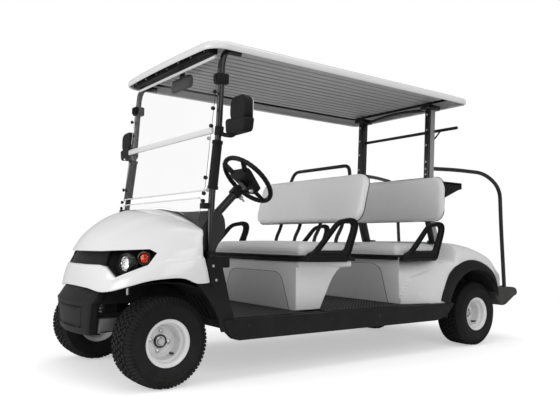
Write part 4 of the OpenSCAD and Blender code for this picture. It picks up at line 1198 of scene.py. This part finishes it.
def build_mirrors():
    bm = bmesh.new()
    glass = bmesh.new()
    for side in BOTH:
        upper = rounded(front_on(((0.640, 1.358), (0.798, 1.352), (0.796, 1.484), (0.648, 1.489)), -0.335, side),
                        0.055, 8)
        plate(bm, upper, (0.052, 0, 0), 0.016, 4)
        lower = rounded(front_on(((0.618, 1.306), (0.634, 1.292), (0.792, 1.294), (0.806, 1.366), (0.612, 1.376)),
                                 -0.338, side), 0.022, 5)
        plate(bm, lower, (0.060, 0, 0), 0.014, 4)
        arm = [(ahead(-0.281), side * 0.552, 1.323), (ahead(-0.292), side * 0.575, 1.300),
               (ahead(-0.310), side * 0.640, 1.288), (ahead(-0.312), side * 0.672, 1.306)]
        tube(bm, rounded(arm, 0.03, 4, closed=False), 0.0115, 14)
        tube(bm, [(ahead(-0.278), side * 0.552, 1.300), (ahead(-0.283), side * 0.551, 1.345)], 0.024, 20)
        face = rounded(front_on(((0.634, 1.310), (0.790, 1.310), (0.788, 1.474), (0.652, 1.478)), -0.3365, side), 0.03,
                       6)
        plate(glass, face, (-0.003, 0, 0), 0.001)
    inside = rounded(front_on(((-0.054, 1.636), (0.199, 1.636), (0.192, 1.712), (-0.047, 1.712)), -0.292), 0.03, 6)
    plate(bm, inside, (-0.022, 0, 0), 0.008, 3)
    box(bm, (ahead(-0.314), 0.052, 1.70), (ahead(-0.294), 0.092, 1.775), 0.006)
    face = rounded(front_on(((-0.046, 1.642), (0.191, 1.642), (0.185, 1.706), (-0.040, 1.706)), -0.292), 0.026, 6)
    plate(glass, [p + Vector((-0.0225, 0, 0)) for p in face], (-0.002, 0, 0), 0.0006)
    piece("mirror_housings", bm, BLACK_PLASTIC, replaces=["mirrors"], sharp=40)
    piece("mirror_glasses", glass, MIRROR_GLASS)


# ---- Dash, kick panels and wheel wells ----

def build_dash():
    section = [(-0.262, 0.899), (-0.31, 0.902), (-0.36, 0.896), (-0.405, 0.884), (-0.436, 0.860), (-0.450, 0.825),
               (-0.446, 0.790), (-0.425, 0.765), (-0.385, 0.742), (-0.345, 0.726), (-0.312, 0.700), (-0.297, 0.665),
               (-0.293, 0.640), (-0.270, 0.640), (-0.225, 0.655)]

    def loop(y):
        near = 1 - 0.60 * ease((abs(y) - 0.33) / 0.20)
        crest = 0.916 - CREST_FALL * y * y
        fall = 0.006 * ease((abs(y) - 0.49) / 0.05)
        points = [(-0.2, 0.70), (-0.178, crest - 0.030), (-0.181, crest - 0.002), (-0.190, crest + 0.003),
                  (-0.214, mix(crest, 0.893, 0.35) + 0.004), (-0.238, mix(crest, 0.899, 0.8) + 0.002)]
        points += [(-0.262 + (x + 0.262) * near, z - fall) for x, z in section]
        return [Vector((ahead(x), y, z)) for x, z in points]

    bm = bmesh.new()
    loft(bm, [loop(-0.54 + 1.08 * k / 48) for k in range(49)])
    piece("dash_moulding", bm, DASH, replaces=["dashboard"], sharp=35)
    bm = bmesh.new()
    box(bm, (ahead(-0.358), -0.562, 0.596), (ahead(-0.222), 0.562, 0.656), 0.008, 3)
    for side in BOTH:
        front = [(-0.147, 0.515), (-0.170, 0.492), (-0.192, 0.463), (-0.216, 0.434), (-0.237, 0.404), (-0.258, 0.371),
                 (-0.275, 0.338), (-0.291, 0.286), (-0.300, 0.262)]
        outline = front + [(-0.372, 0.262), (-0.376, 0.331), (-0.350, 0.398), (-0.325, 0.497), (-0.300, 0.588),
                           (-0.293, 0.655), (-0.205, 0.655), (-0.160, 0.530)]
        plate(bm, side_on(outline, side * 0.570), (0, side * 0.0185, 0), 0.003)
    piece("kick_panels", bm, BLACK_PLASTIC)
    bm = bmesh.new()
    for k in range(-11, 12):
        y = k * 0.048
        rib = [(-0.208, 0.628), (-0.222, 0.628), (-0.222, 0.500), (-0.280, 0.405), (-0.346, 0.318), (-0.330, 0.318),
               (-0.264, 0.410), (-0.208, 0.505)]
        plate(bm, side_on(rib, y), (0, 0.010, 0), 0.001, 1)
    piece("bulkhead_ribs", bm, WELL_BLACK)
    # Black sheets over the front wheels and under the middle of the cowl: painted shade, a dark lining standing in for
    # the shade inside the cowl.
    bm = bmesh.new()
    reach, rise = 0.355, 0.298
    for side in BOTH:
        def well(u, v):
            y = 0.225 + 0.340 * v
            plan = COWL_BACK - AXLE + NOSE * (1 - (min(y, 0.59) / 0.60) ** 2.3) ** (1 / 2.3) - 0.035
            first = acos(max(-1.0, min(1.0, plan / reach)))
            angle = mix(max(first, radians(32)), radians(152), u)
            return Vector((ahead(reach * cos(angle) - 0.012), side * y, HUB_Z + rise * sin(angle)))

        skin(bm, 30, 10, well)
        skin(bm, 24, 4, lambda u, v, side=side: Vector((
            ahead(reach * cos(mix(radians(32), radians(152), u)) - 0.012), side * 0.225,
            mix(0.40, HUB_Z + rise * sin(mix(radians(32), radians(152), u)), v))))
    skin(bm, 12, 8, lambda u, v: Vector((ahead(mix(-0.22, 0.255, u)), mix(-0.225, 0.225, v), 0.47)))
    ob = piece("front_wheel_well_shade_sheets", bm, WELL_BLACK)
    thicken(ob, THIN_WALL)


# ---- Steering wheel and column ----

COLUMN_LEAN = radians(44.7)


def build_steering():
    centre = JOINT["steering_turn"]
    lean = COLUMN_LEAN
    frame_of = Matrix(((cos(lean), 0, -sin(lean)), (0, 1, 0), (sin(lean), 0, cos(lean)))).to_4x4()
    place = Matrix.Translation(centre) @ frame_of
    bm = bmesh.new()
    grip, count = 0.1715, 72
    ring = [(grip * cos(2 * pi * k / count), grip * sin(2 * pi * k / count), 0) for k in range(count)]
    tube(bm, ring, lambda v: 0.0138 + 0.0011 * abs(sin(v * 2 * pi * 18)), 16, closed=True, across=(0, 0, 1))
    for side in BOTH:
        spoke = [Vector(p) for p in ((0.052, side * 0.062, -0.014), (0.090, side * 0.074, -0.010),
                                     (0.128, side * 0.094, -0.004), (0.148, side * 0.104, 0.0))]
        tube(bm, spoke, lambda v: 0.0165 - 0.003 * v, 14, across=(0, 0, 1))
    tube(bm, [(-0.030, 0, -0.016), (-0.090, 0, -0.010), (-0.140, 0, -0.004), (-0.168, 0, 0)],
         lambda v: 0.020 - 0.004 * v, 14, squash=0.6, across=(0, 0, 1))
    pad = rounded([(0.088, -0.080, 0), (0.088, 0.080, 0), (0.060, 0.088, 0), (-0.078, 0.052, 0), (-0.090, 0, 0),
                   (-0.078, -0.052, 0), (0.060, -0.088, 0)], 0.014, 4)
    plate(bm, [p + Vector((-0.006, 0, -0.032)) for p in pad], (0, 0, 0.046), 0.010, 4)
    bmesh.ops.transform(bm, matrix=place, verts=bm.verts)
    piece("steering_wheel_moulding", bm, WHEEL_BLACK, body="steering_wheel", replaces=["steering_wheel"],
          sharp=45)
    bm = bmesh.new()
    badge = rounded([(0.050, -0.040, 0.0145), (0.050, 0.040, 0.0145), (-0.020, 0.024, 0.0145),
                     (-0.020, -0.024, 0.0145)], 0.012, 4)
    plate(bm, badge, (0, 0, 0.0016), 0.0006)
    tube(bm, [(0, 0, -0.030), (0, 0, -0.052)], 0.030, 24, across=(0, 1, 0))
    bmesh.ops.transform(bm, matrix=place, verts=bm.verts)
    piece("steering_hub", bm, GLOSS_BLACK, body="steering_wheel")
    bm = bmesh.new()
    box(bm, (-0.030, -0.028, -0.142), (0.030, 0.028, -0.074), 0.009, 3)
    tube(bm, [(0.0, 0.020, -0.098), (-0.020, 0.105, -0.090)], lambda v: 0.0065 + 0.003 * v, 12, across=(0, 0, 1))
    bmesh.ops.transform(bm, matrix=place, verts=bm.verts)
    piece("column_switch_box", bm, BLACK_PLASTIC)
    bm = bmesh.new()
    tube(bm, [(-0.040, 0.0, -0.110), (-0.054, 0.0, -0.110)], 0.013, 20, across=(0, 0, 1))
    box(bm, (-0.078, -0.011, -0.112), (-0.052, 0.011, -0.109), 0.001)
    tube(bm, [(-0.020, 0.105, -0.090), (-0.023, 0.119, -0.088)], 0.0105, 16, across=(0, 0, 1))
    bmesh.ops.transform(bm, matrix=place, verts=bm.verts)
    piece("key_and_lever", bm, ZINC)


# ---- Seat boxes ----

def build_front_box():
    front, rear_top = 0.454, 0.024
    cut = [(0.024, 0.581), (0.075, 0.5805), (0.101, 0.576), (0.128, 0.556), (0.157, 0.522), (0.184, 0.480),
           (0.210, 0.430), (0.236, 0.382), (0.264, BOX_FOOT)]
    outline = [(front, BOX_FOOT), (front + 0.001, 0.617), (rear_top, 0.617)] + cut
    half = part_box("front_seat_box")[1].y
    bm = bmesh.new()
    plate(bm, [(x, -half, z) for x, z in outline], (0, 2 * half, 0), 0.006, 3)
    for side in BOTH:
        box(bm, (0.030, side * half - 0.004, 0.586), (0.458, side * half + 0.030, 0.6205), 0.007, 3)
    shape = [(-0.385, INSET_FOOT), (-0.375, 0.336), (-0.298, 0.524), (-0.245, 0.551), (0.245, 0.551), (0.298, 0.524),
             (0.375, 0.336), (0.385, INSET_FOOT)]
    piece("front_seat_pedestal", bm, SEAT_PANEL_PAINTED_LIGHT, replaces=["front_seat_box"], sharp=34)
    panels = bmesh.new()
    seams = bmesh.new()
    ring = rounded([(0, y, z) for y, z in shape], 0.05, 8)
    plate(seams, [Vector((front, p.y * 1.012, INSET_FOOT + (p.z - INSET_FOOT) * 1.012)) for p in ring], (0.0014, 0, 0))
    plate(panels, [Vector((front, p.y, p.z)) for p in ring], (0.0026, 0, 0), 0.001, 1)
    piece("front_box_inset", panels, INNER_PANEL)
    piece("front_box_joint", seams, BLACK_PLASTIC)


# ---- Rear body ----

TAIL_LOW, TAIL_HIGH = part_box("rear_body")
ARCH = 0.320
REAR_WELL = 0.3175
TAIL_POWER = 5.5
SIDE_SHARE = 0.62
SIDE_RISE = 0.90
TAIL_FRONT_Y = 0.469


def tail_low(x):
    off = x - REAR
    if off < -0.260:
        return 0.413
    if off < 0.290:
        return HUB_Z + sqrt(ARCH * ARCH - off * off)
    return TAIL_LOW.z


def tail_taper(x):
    """How far the body draws in behind the rear wheels."""
    return 0.055 * ease((REAR - 0.18 - x) / 0.22)


def tail_half(x):
    t = min(1.0, (TAIL_HIGH.x - x) / 0.34)
    return mix(TAIL_FRONT_Y, TAIL_HIGH.y, t * (1.4 - 0.4 * t)) - tail_taper(x)


def tail_high(x):
    shoulder = straight([(-0.375, 0.56), (-0.308, 0.612), (-0.238, 0.650), (-0.178, 0.678), (-0.088, 0.708),
                         (0.002, 0.733), (0.092, 0.748), (0.182, TAIL_HIGH.z)], x - REAR)
    return mix(0.6445, shoulder, ease((REAR + 0.248 - x) / 0.050))


def pressed(x, z):
    """How far the side stands out at a place: proud below a pressed line that rises and turns back."""
    rel = x - TAIL_HIGH.x
    up = straight([(-0.33, 0.592), (-0.085, 0.512), (-0.064, 0.497), (-0.018, 0.395), (0.0, 0.345)], rel)
    below = ease((up - z) / 0.011)
    return 0.010 * below * ease((0.34 + rel) / 0.14) * ease(-rel / 0.010)


def tail_point(x, share, shrink=1.0):
    """A point of the body's section at a distance along it: up one side, over the top and down the other."""
    side = -1 if share < 0.5 else 1
    t = 1 - abs(2 * share - 1)
    if t < SIDE_SHARE:
        s = SIDE_RISE * t / SIDE_SHARE
        c = side * (1 - s ** TAIL_POWER) ** (1 / TAIL_POWER)
    else:
        angle = mix(asin(SIDE_RISE ** (TAIL_POWER / 2)), pi / 2, (t - SIDE_SHARE) / (1 - SIDE_SHARE))
        c, s = side * power(cos(angle), 2 / TAIL_POWER), sin(angle) ** (2 / TAIL_POWER)
    z = mix(tail_low(x), tail_high(x), s * shrink)
    y = tail_half(x) * c
    if abs(c) > 0.9:
        y += (1 if y > 0 else -1) * pressed(x, z)
    return Vector((x, y * shrink, z))


def build_rear_body():
    back = TAIL_LOW.x
    marks = [TAIL_HIGH.x - k * 0.010 for k in range(42)] + [REAR + 0.290 - k * 0.010 for k in range(1, 55)]
    marks += [REAR - 0.2601, REAR - 0.275, REAR - 0.29, REAR - 0.31, REAR - 0.33, REAR - 0.35, back + 0.008,
              back + 0.002, back]
    marks = sorted({round(x, 4) for x in marks if x >= back}, reverse=True)
    bm = bmesh.new()
    steps = 200

    def spot(u, v):
        return tail_point(marks[round(v * (len(marks) - 1))], u)

    skin(bm, steps, len(marks) - 1, spot)
    loops = [[tail_point(back, k / steps, f) for k in range(steps + 1)]
             for f in (1.0, 0.97, 0.9, 0.8, 0.6, 0.4, 0.2, 0.02)]
    skin(bm, steps, len(loops) - 1, lambda u, v: loops[round(v * (len(loops) - 1))][round(u * steps)])
    ob = piece("rear_body_shell", bm, WHITE_PANEL, replaces=["rear_body"], sharp=28, weld=2e-4)
    face_out(ob, (REAR, 0, 0.5))
    thicken(ob, WALL)
    bm = bmesh.new()
    front = TAIL_HIGH.x
    shape = rounded([(front, y, z) for y, z in ((-TAIL_FRONT_Y, BOX_FOOT), (TAIL_FRONT_Y, BOX_FOOT),
                                                (TAIL_FRONT_Y, 0.6440), (-TAIL_FRONT_Y, 0.6440))], 0.006, 3)
    plate(bm, shape, (-0.004, 0, 0), 0.0015, 1)
    piece("rear_box_front", bm, SEAT_PANEL_PAINTED_LIGHT)
    inset = [(-0.375, INSET_FOOT), (-0.361, 0.345), (-0.296, 0.560), (-0.226, 0.593), (0.226, 0.593), (0.296, 0.560),
             (0.361, 0.345), (0.375, INSET_FOOT)]
    ring = rounded([(0, y, z) for y, z in inset], 0.06, 8)
    bm = bmesh.new()
    plate(bm, [Vector((front, p.y, p.z)) for p in ring], (0.0028, 0, 0), 0.001, 1)
    piece("rear_box_inset", bm, INNER_PANEL)
    bm = bmesh.new()
    plate(bm, [Vector((front, p.y * 1.012, INSET_FOOT + (p.z - INSET_FOOT) * 1.01)) for p in ring], (0.0014, 0, 0))
    piece("rear_box_joints", bm, BLACK_PLASTIC)
    bm = bmesh.new()
    for side in BOTH:
        skin(bm, 40, 8, lambda u, v, side=side: Vector((
            REAR + REAR_WELL * cos(mix(radians(-2), radians(158), u)), side * mix(0.33, 0.572, v),
            HUB_Z + REAR_WELL * sin(mix(radians(-2), radians(158), u)))))
        skin(bm, 40, 6, lambda u, v, side=side: Vector((
            REAR + REAR_WELL * cos(mix(radians(4), radians(156), u)), side * 0.33,
            mix(0.37, HUB_Z + REAR_WELL * sin(mix(radians(4), radians(156), u)), v))))
    wells = piece("rear_wheel_wells", bm, WELL_BLACK)
    thicken(wells, 0.002)


FLARE_OUTER = [(3, 0.402), (16, 0.410), (45, 0.424), (73, 0.408), (104, 0.378), (139, 0.356), (166, 0.345)]


def build_flares():
    """Wide black lips over the rear wheels, bulging from the body and rolling in at the arch."""
    bm = bmesh.new()
    section = [(0.0, -0.006), (0.02, 0.004), (0.10, 0.010), (0.25, 0.015), (0.45, 0.018), (0.65, 0.0185),
               (0.82, 0.0165), (0.92, 0.012), (0.98, 0.004), (1.0, -0.008), (1.0, -0.045), (0.985, -0.045),
               (0.97, -0.008), (0.5, -0.004)]
    for side in BOTH:
        loops = []
        for k in range(57):
            angle = mix(16, 157, k / 56)
            outer, inner = through(FLARE_OUTER, angle), ARCH - 0.002
            a = radians(angle)
            loop = []
            for share, out in section:
                r = mix(outer, inner, share)
                x = REAR + r * cos(a)
                half = TAIL_HIGH.y - tail_taper(x)
                loop.append(Vector((x, side * (half + out), HUB_Z + r * sin(a))))
            loops.append(loop)
        loft(bm, loops)
    piece("wheel_arch_flares", bm, BLACK_PLASTIC, replaces=["rear_flares"], sharp=40)


# ---- Cushions and backrests ----

def swell(ob, held, reach, pressure=4.0):
    """Blows the padding up like a sewn cover, with its hidden side held, and moves no point too far."""
    rest = [v.co.copy() for v in ob.data.vertices]
    frames = 20
    group = ob.vertex_groups.new(name="held")
    group.add([i for i, co in enumerate(rest) if held(co)], 1.0, "REPLACE")
    cloth = ob.modifiers.new("cover", "CLOTH")
    cloth.settings.use_pressure = True
    cloth.settings.uniform_pressure_force = pressure
    cloth.settings.effector_weights.gravity = 0
    cloth.settings.vertex_group_mass = "held"
    cloth.settings.quality = 4
    cloth.point_cache.frame_start = 1
    cloth.point_cache.frame_end = frames
    scene = bpy.context.scene
    for number in range(1, frames + 1):
        scene.frame_set(number)
    shaped = ob.evaluated_get(bpy.context.evaluated_depsgraph_get()).to_mesh()
    moved = [v.co.copy() for v in shaped.vertices]
    ob.modifiers.remove(cloth)
    for vert, start, end in zip(ob.data.vertices, rest, moved):
        step = end - start
        vert.co = start + step * min(1.0, reach / max(step.length, 1e-9))
    scene.frame_set(1)


def remeshed(ob, size):
    """Replaces an object's mesh with an even skin of small faces."""
    remesh = ob.modifiers.new("even_skin", "REMESH")
    remesh.mode = "VOXEL"
    remesh.voxel_size = size
    mesh = bpy.data.meshes.new_from_object(ob.evaluated_get(bpy.context.evaluated_depsgraph_get()))
    ob.modifiers.remove(remesh)
    ob.data = mesh


def pad(name, outline, thick, soft, crown_by, place, held, reach, body="chassis", replaces=()):
    """A padded bench part: a soft-edged slab of an outline, crowned, swollen by its filling and smoothed."""
    bm = bmesh.new()
    plate(bm, outline, (0, 0, thick), soft, 5)
    bmesh.ops.recalc_face_normals(bm, faces=bm.faces)
    mesh = bpy.data.meshes.new(name)
    bm.to_mesh(mesh)
    bm.free()
    ob = bpy.data.objects.new(name, mesh)
    bpy.context.scene.collection.objects.link(ob)
    remeshed(ob, 0.009)
    half = [max(abs(p[i]) for p in outline) for i in (0, 1)]
    for vert in ob.data.vertices:
        across, along = vert.co.x / half[0], vert.co.y / half[1]
        flat = max(0.0, 1 - across ** 2) * max(0.0, 1 - abs(along) ** 2.6)
        vert.co.z += crown_by * flat * ease(vert.co.z / thick)
        vert.co.x *= 1 - 0.010 * (1 - along ** 2) * (1 if vert.co.z < thick * 0.7 else 0.6)
        vert.co.y *= 1 - 0.006 * (1 - across ** 2)
    ob.data.transform(place)
    swell(ob, held, reach)
    ob.data.materials.clear()
    ob.data.materials.append(VINYL)
    ob.data.shade_smooth()
    smooth = ob.modifiers.new("smooth", "SUBSURF")
    smooth.levels = smooth.render_levels = 1
    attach(ob, body)
    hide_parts(*replaces)


def slab(half_x, half_y, corner):
    """A rounded rectangle, as points in a plane."""
    return rounded([(-half_x, -half_y, 0), (half_x, -half_y, 0), (half_x, half_y, 0), (-half_x, half_y, 0)], corner,
                   9)


def build_cushions():
    for name, node_name, body in (("front_seat_cushion", "front_cushion", "chassis"),
                                  ("rear_seat_cushion", "rear_cushion", "rear_seat")):
        low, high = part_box(node_name)
        middle = (low + high) / 2
        place = Matrix.Translation((middle.x, middle.y, low.z + 0.001))
        outline = slab((high.x - low.x) / 2 - 0.005, (high.y - low.y) / 2 - 0.004, 0.055)
        pad(name, outline, high.z - low.z - 0.018, 0.034, 0.010, place, lambda co, z=low.z: co.z < z + 0.012, 0.009,
            body, [node_name])
        ring = [p + Vector((middle.x, middle.y, low.z + 0.006))
                for p in slab((high.x - low.x) / 2 + 0.001, (high.y - low.y) / 2 + 0.001, 0.058)]
        bm = bmesh.new()
        tube(bm, evenly(ring, PIPING_POINTS), 0.0042, 8, closed=True, across=(0, 0, 1))
        piece(name + "_piping", bm, PIPING, body=body)
        ring = [p + Vector((middle.x, middle.y, low.z - 0.0005))
                for p in slab((high.x - low.x) / 2 - 0.008, (high.y - low.y) / 2 - 0.008, 0.05)]
        bm = bmesh.new()
        plate(bm, ring, (0, 0, 0.006), 0.001, 1)
        piece(name + "_board", bm, SEAT_BASE, body=body)


def build_seat_boards():
    low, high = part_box("seat_pans")
    bm = bmesh.new()
    box(bm, (0.046, -0.530, low.z + 0.0005), (high.x, 0.530, high.z - 0.001), 0.005)
    box(bm, (-0.778, -0.462, low.z + 0.0005), (high.x - SEAT_PITCH, 0.462, high.z - 0.001), 0.005)
    piece("seat_boards", bm, SEAT_BASE, replaces=["seat_pans"])


def build_backrests():
    for name, node_name, top_x, low_x, lift, high_z, half_y in (
            ("front_back_cushion", "front_backrest", 0.002, 0.086, 0.874, 1.200, 0.582),
            ("rear_back_cushion", "rear_backrest", -0.744, -0.738, 0.894, 1.226, 0.562)):
        up = Vector((top_x - low_x, 0, high_z - lift))
        tall = up.length
        up.normalize()
        out = LEFT.cross(up).normalized()
        axes = Matrix((up, LEFT, out)).transposed().to_4x4()
        centre = Vector(((top_x + low_x) / 2, 0, (high_z + lift) / 2)) - out * 0.064
        place = Matrix.Translation(centre) @ axes
        outline = slab(tall / 2 - 0.002, half_y - 0.002, 0.095)
        back = centre.dot(out)
        pad(name, outline, 0.058, 0.029, 0.012, place, lambda co, b=back, o=out: co.dot(o) < b + 0.010, 0.010,
            "chassis", [node_name])
        ring = [place @ (p + Vector((0, 0, 0.013))) for p in slab(tall / 2 - 0.006, half_y - 0.006, 0.090)]
        bm = bmesh.new()
        tube(bm, evenly(ring, PIPING_POINTS), 0.0026, 8, closed=True, across=tuple(out))
        piece(name + "_piping", bm, PIPING)
        ring = [place @ (p + Vector((0, 0, -0.004))) for p in slab(tall / 2 - 0.026, half_y - 0.026, 0.075)]
        bm = bmesh.new()
        plate(bm, ring, out * 0.007, 0.002, 2)
        piece(name + "_shell", bm, BLACK_PLASTIC)


# ---- Hip rails ----

HIP_OUTER = [(-0.837, 0.622), (-0.837, 0.640), (-0.851, 0.668), (-0.903, 0.688), (-1.064, 0.850), (-1.100, 0.874),
             (-1.194, 0.892), (-1.238, 0.880), (-1.252, 0.850), (-1.245, 0.810), (-1.172, 0.620)]
HIP_INNER = [(-0.950, 0.690), (-0.958, 0.694), (-0.964, 0.700), (-0.974, 0.712), (-1.086, 0.832), (-1.112, 0.848),
             (-1.180, 0.858), (-1.196, 0.852), (-1.200, 0.838), (-1.194, 0.810), (-1.142, 0.690)]


def build_hip_rails():
    bm = bmesh.new()
    section = [(0.0, 0.594), (0.0, 0.604), (0.06, 0.613), (0.16, 0.619), (0.26, 0.619), (0.34, 0.610), (0.64, 0.610),
               (0.72, 0.618), (0.84, 0.618), (0.94, 0.612), (1.0, 0.604), (1.0, 0.594)]
    for shift in (0.0, -SEAT_PITCH):
        outer = rounded([(x + shift, 0, z) for x, z in HIP_OUTER], 0.022, 4)
        inner = rounded([(x + shift, 0, z) for x, z in HIP_INNER], 0.022, 4)
        for side in BOTH:
            def spot(u, v, side=side):
                i = round(v * len(outer)) % len(outer)
                share, y = section[round(u * len(section)) % len(section)]
                point = outer[i].lerp(inner[i], share)
                return Vector((ahead(point.x), side * y, point.z))

            skin(bm, len(section), len(outer), spot)
            foot = [(-0.846, 0.6245), (-0.846, 0.652), (-1.170, 0.652), (-1.168, 0.6245)]
            plate(bm, [(ahead(x + shift), side * 0.560, z) for x, z in foot], (0, side * 0.036, 0), 0.004)
    piece("hip_rail_mouldings", bm, BLACK_PLASTIC, replaces=["hip_rails"], sharp=30)


# ---- Posts, rails and step at the back ----

def build_rear_end():
    line = [(-0.922, 0.752), (-0.868, 0.930), (-0.862, 1.233), (-0.882, 1.772)]
    bm = bmesh.new()
    for side in BOTH:
        post = [(x - 0.032, z) for x, z in line] + [(x + 0.032, z) for x, z in reversed(line)]
        plate(bm, [(x, side * 0.333, z) for x, z in post], (0, side * 0.044, 0), 0.005)
        box(bm, (-0.990, side * 0.3445 - 0.0345, 0.735), (-0.896, side * 0.3445 + 0.0345, 0.762), 0.006)
        box(bm, (-0.945, side * 0.355 - 0.042, 1.735), (-0.818, side * 0.355 + 0.042, 1.774), 0.006)
        tube(bm, [(-0.905, side * 0.376, 1.520), (-0.905, side * 0.430, 1.572)], 0.006, 12, across=(1, 0, 0))
    tube(bm, [(-0.908, -0.398, 1.578), (-0.908, 0.578, 1.578)], 0.0115, 20, across=(1, 0, 0))
    arch = [(-0.905, 0.352 - 0.704 * k / 24, 1.742 + 0.028 * sin(pi * k / 24)) for k in range(25)]
    tube(bm, arch, 0.012, 14, across=(1, 0, 0))
    piece("rear_post_channels", bm, BLACK_COAT, replaces=["rear_posts"], sharp=35)
    bm = bmesh.new()
    # Grey plates on the posts' side faces: painted light on the sides of the black posts.
    for side in BOTH:
        strip = [(x - 0.028, z) for x, z in line] + [(x + 0.018, z) for x, z in reversed(line)]
        plate(bm, [(x, side * 0.3772, z) for x, z in strip], (0, side * 0.0042, 0), 0.001, 1)
    piece("rear_post_painted_light_plates", bm, POST_SIDE_PAINTED_LIGHT)
    bm = bmesh.new()
    for side in BOTH:
        for z in (1.252, 1.292, 1.345, 1.47, 1.585, 1.70, 1.745):
            x = straight([(0.930, -0.868), (1.233, -0.862), (1.774, -0.882)], z) + 0.034
            bolt(bm, (x, side * 0.355, z), (1, 0, 0), 0.0055, 0.004)
    piece("rear_post_bolts", bm, ZINC)
    low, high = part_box("bag_bracket")
    bm = bmesh.new()
    box(bm, (low.x, low.y, high.z - 0.026), (high.x, high.y, high.z - 0.001), 0.007, 3)
    for side in BOTH:
        arm = [(high.x, high.z - 0.006), (low.x + 0.002, high.z - 0.006), (low.x, high.z - 0.048),
               (low.x + 0.045, high.z - 0.060), (-1.010, low.z + 0.002), (high.x, low.z + 0.002)]
        plate(bm, [(x, side * (high.y - 0.034), z) for x, z in arm], (0, side * 0.034, 0), 0.006)
    box(bm, (low.x, low.y + 0.004, high.z - 0.050), (low.x + 0.022, high.y - 0.004, high.z - 0.004), 0.006, 3)
    piece("bag_rack", bm, BLACK_PLASTIC, replaces=["bag_bracket"], sharp=35)
    step_low, step_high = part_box("rear_step")
    x = step_low.x
    outline = [(x, 0.358), (x + 0.006, 0.385), (x + 0.030, 0.402), (x + 0.085, 0.409), (x + 0.284, 0.410),
               (x + 0.284, 0.330), (x + 0.235, 0.292), (x + 0.195, 0.268), (x + 0.150, 0.278), (x + 0.045, 0.334),
               (x + 0.008, 0.346)]
    bm = bmesh.new()
    plate(bm, rounded([(a, -step_high.y, z) for a, z in outline], 0.012, 4), (0, 2 * step_high.y, 0),
          0.009, 3)
    piece("rear_step_moulding", bm, STEP_GREY, replaces=["rear_step"], sharp=35)
    bm = bmesh.new()
    for k in range(9):
        at = x + 0.075 + k * 0.022
        box(bm, (at, -0.50, 0.4085), (at + 0.008, 0.50, 0.4125), 0.0015)
    piece("rear_step_treads", bm, MAT_RUBBER)
    for side, name in ((1, "left"), (-1, "right")):
        lamp(f"tail_lamp_{name}", (-1.512, side * 0.430, 0.520), (-1, 0, 0), 0.036, RED_LENS, False)


# ---- Sills and mats ----

def build_sills():
    bm = bmesh.new()
    for side in BOTH:
        for x, z in ((-0.465, 0.287), (-1.058, 0.283), (-1.458, 0.279), (-2.062, 0.277)):
            turned_profile(bm, [(0.0003, 0.0012), (0.0055, 0.0012), (0.0070, 0.0020), (0.0082, 0.0006),
                                (0.0082, -0.004)], (ahead(x), side * SILL_Y, z), (0, side, 0), 20)
        line = [(ahead(-0.352), side * (SILL_Y + 0.0004), 0.322), (ahead(-0.356), side * (SILL_Y + 0.0004), 0.300),
                (ahead(-0.372), side * (SILL_Y + 0.0004), 0.262), (ahead(-0.400), side * (SILL_Y + 0.0004), 0.222)]
        tube(bm, rounded(line, 0.02, 4, closed=False), 0.0016, 6)
    piece("sill_plugs_and_seams", bm, WELL_BLACK)
    bm = bmesh.new()
    for side in BOTH:
        box(bm, (-0.845, side * 0.548 - 0.012, 0.3225), (1.000, side * 0.548 + 0.012, 0.3275), 0.0015)
    piece("sill_inner_lips", bm, BLACK_PLASTIC)


# ---- Running gear ----

def build_running_gear():
    bm = bmesh.new()
    for side in BOTH:
        box(bm, (ahead(0.135), side * 0.220 - 0.035, 0.264), (ahead(0.231), side * 0.220 + 0.035, 0.329), 0.004)
    piece("front_frame_blocks", bm, GREY_STEEL)
    bm = bmesh.new()
    for side in BOTH:
        turns, steps = 6.5, 150
        coil = [(AXLE + 0.040 * cos(2 * pi * turns * k / steps),
                 side * 0.273 + 0.040 * sin(2 * pi * turns * k / steps),
                 0.252 + 0.135 * k / steps) for k in range(steps + 1)]
        tube(bm, coil, 0.0055, 8, across=(0, 0, 1))
    piece("front_springs", bm, DARK_STEEL)
    bm = bmesh.new()
    for side in BOTH:
        tube(bm, [(ahead(0.115), side * 0.330, 0.455), (ahead(0.118), side * 0.334, 0.490)], 0.0095, 16,
             across=(1, 0, 0))
    piece("damper_tops", bm, ZINC)


PAINTS = {
    "chassis": DARK_STEEL, "floor_plate": DARK_STEEL, "floor_mat": MAT_RUBBER, "side_sills": BLACK_PLASTIC,
    "front_axle": GREY_STEEL, "rear_axle": GREY_STEEL, "drive_motor": DARK_STEEL, "battery_pack": BATTERY,
    "bulkhead": WELL_BLACK, "pedals": BLACK_COAT, "steering_column": BLACK_COAT, "rear_posts": BLACK_COAT,
    "handrails": GLOSS_BLACK, "bag_bracket": BLACK_PLASTIC, "seat_pans": SEAT_BASE, "backrest_hoop": BLACK_COAT,
    "tail_lamps": BLACK_PLASTIC, "knuckle_left": GREY_STEEL, "knuckle_right": GREY_STEEL, "tie_rod": GREY_STEEL,
}


# ---- Everything together ----

def main():
    place_camera()
    light_studio()
    lay_floor()
    for name in frame["nodes"]:
        repaint(name, PAINTS.get(name, BLACK_PLASTIC))
    build_cowl()
    build_recess()
    build_lamps()
    build_bumper()
    build_wheels()
    build_roof()
    build_liner()
    build_windscreen()
    build_posts()
    build_mirrors()
    build_dash()
    build_steering()
    build_front_box()
    build_rear_body()
    build_flares()
    build_cushions()
    build_seat_boards()
    build_backrests()
    build_hip_rails()
    build_rear_end()
    build_sills()
    build_running_gear()
    bpy.context.scene.view_settings.view_transform = "Standard"


main()
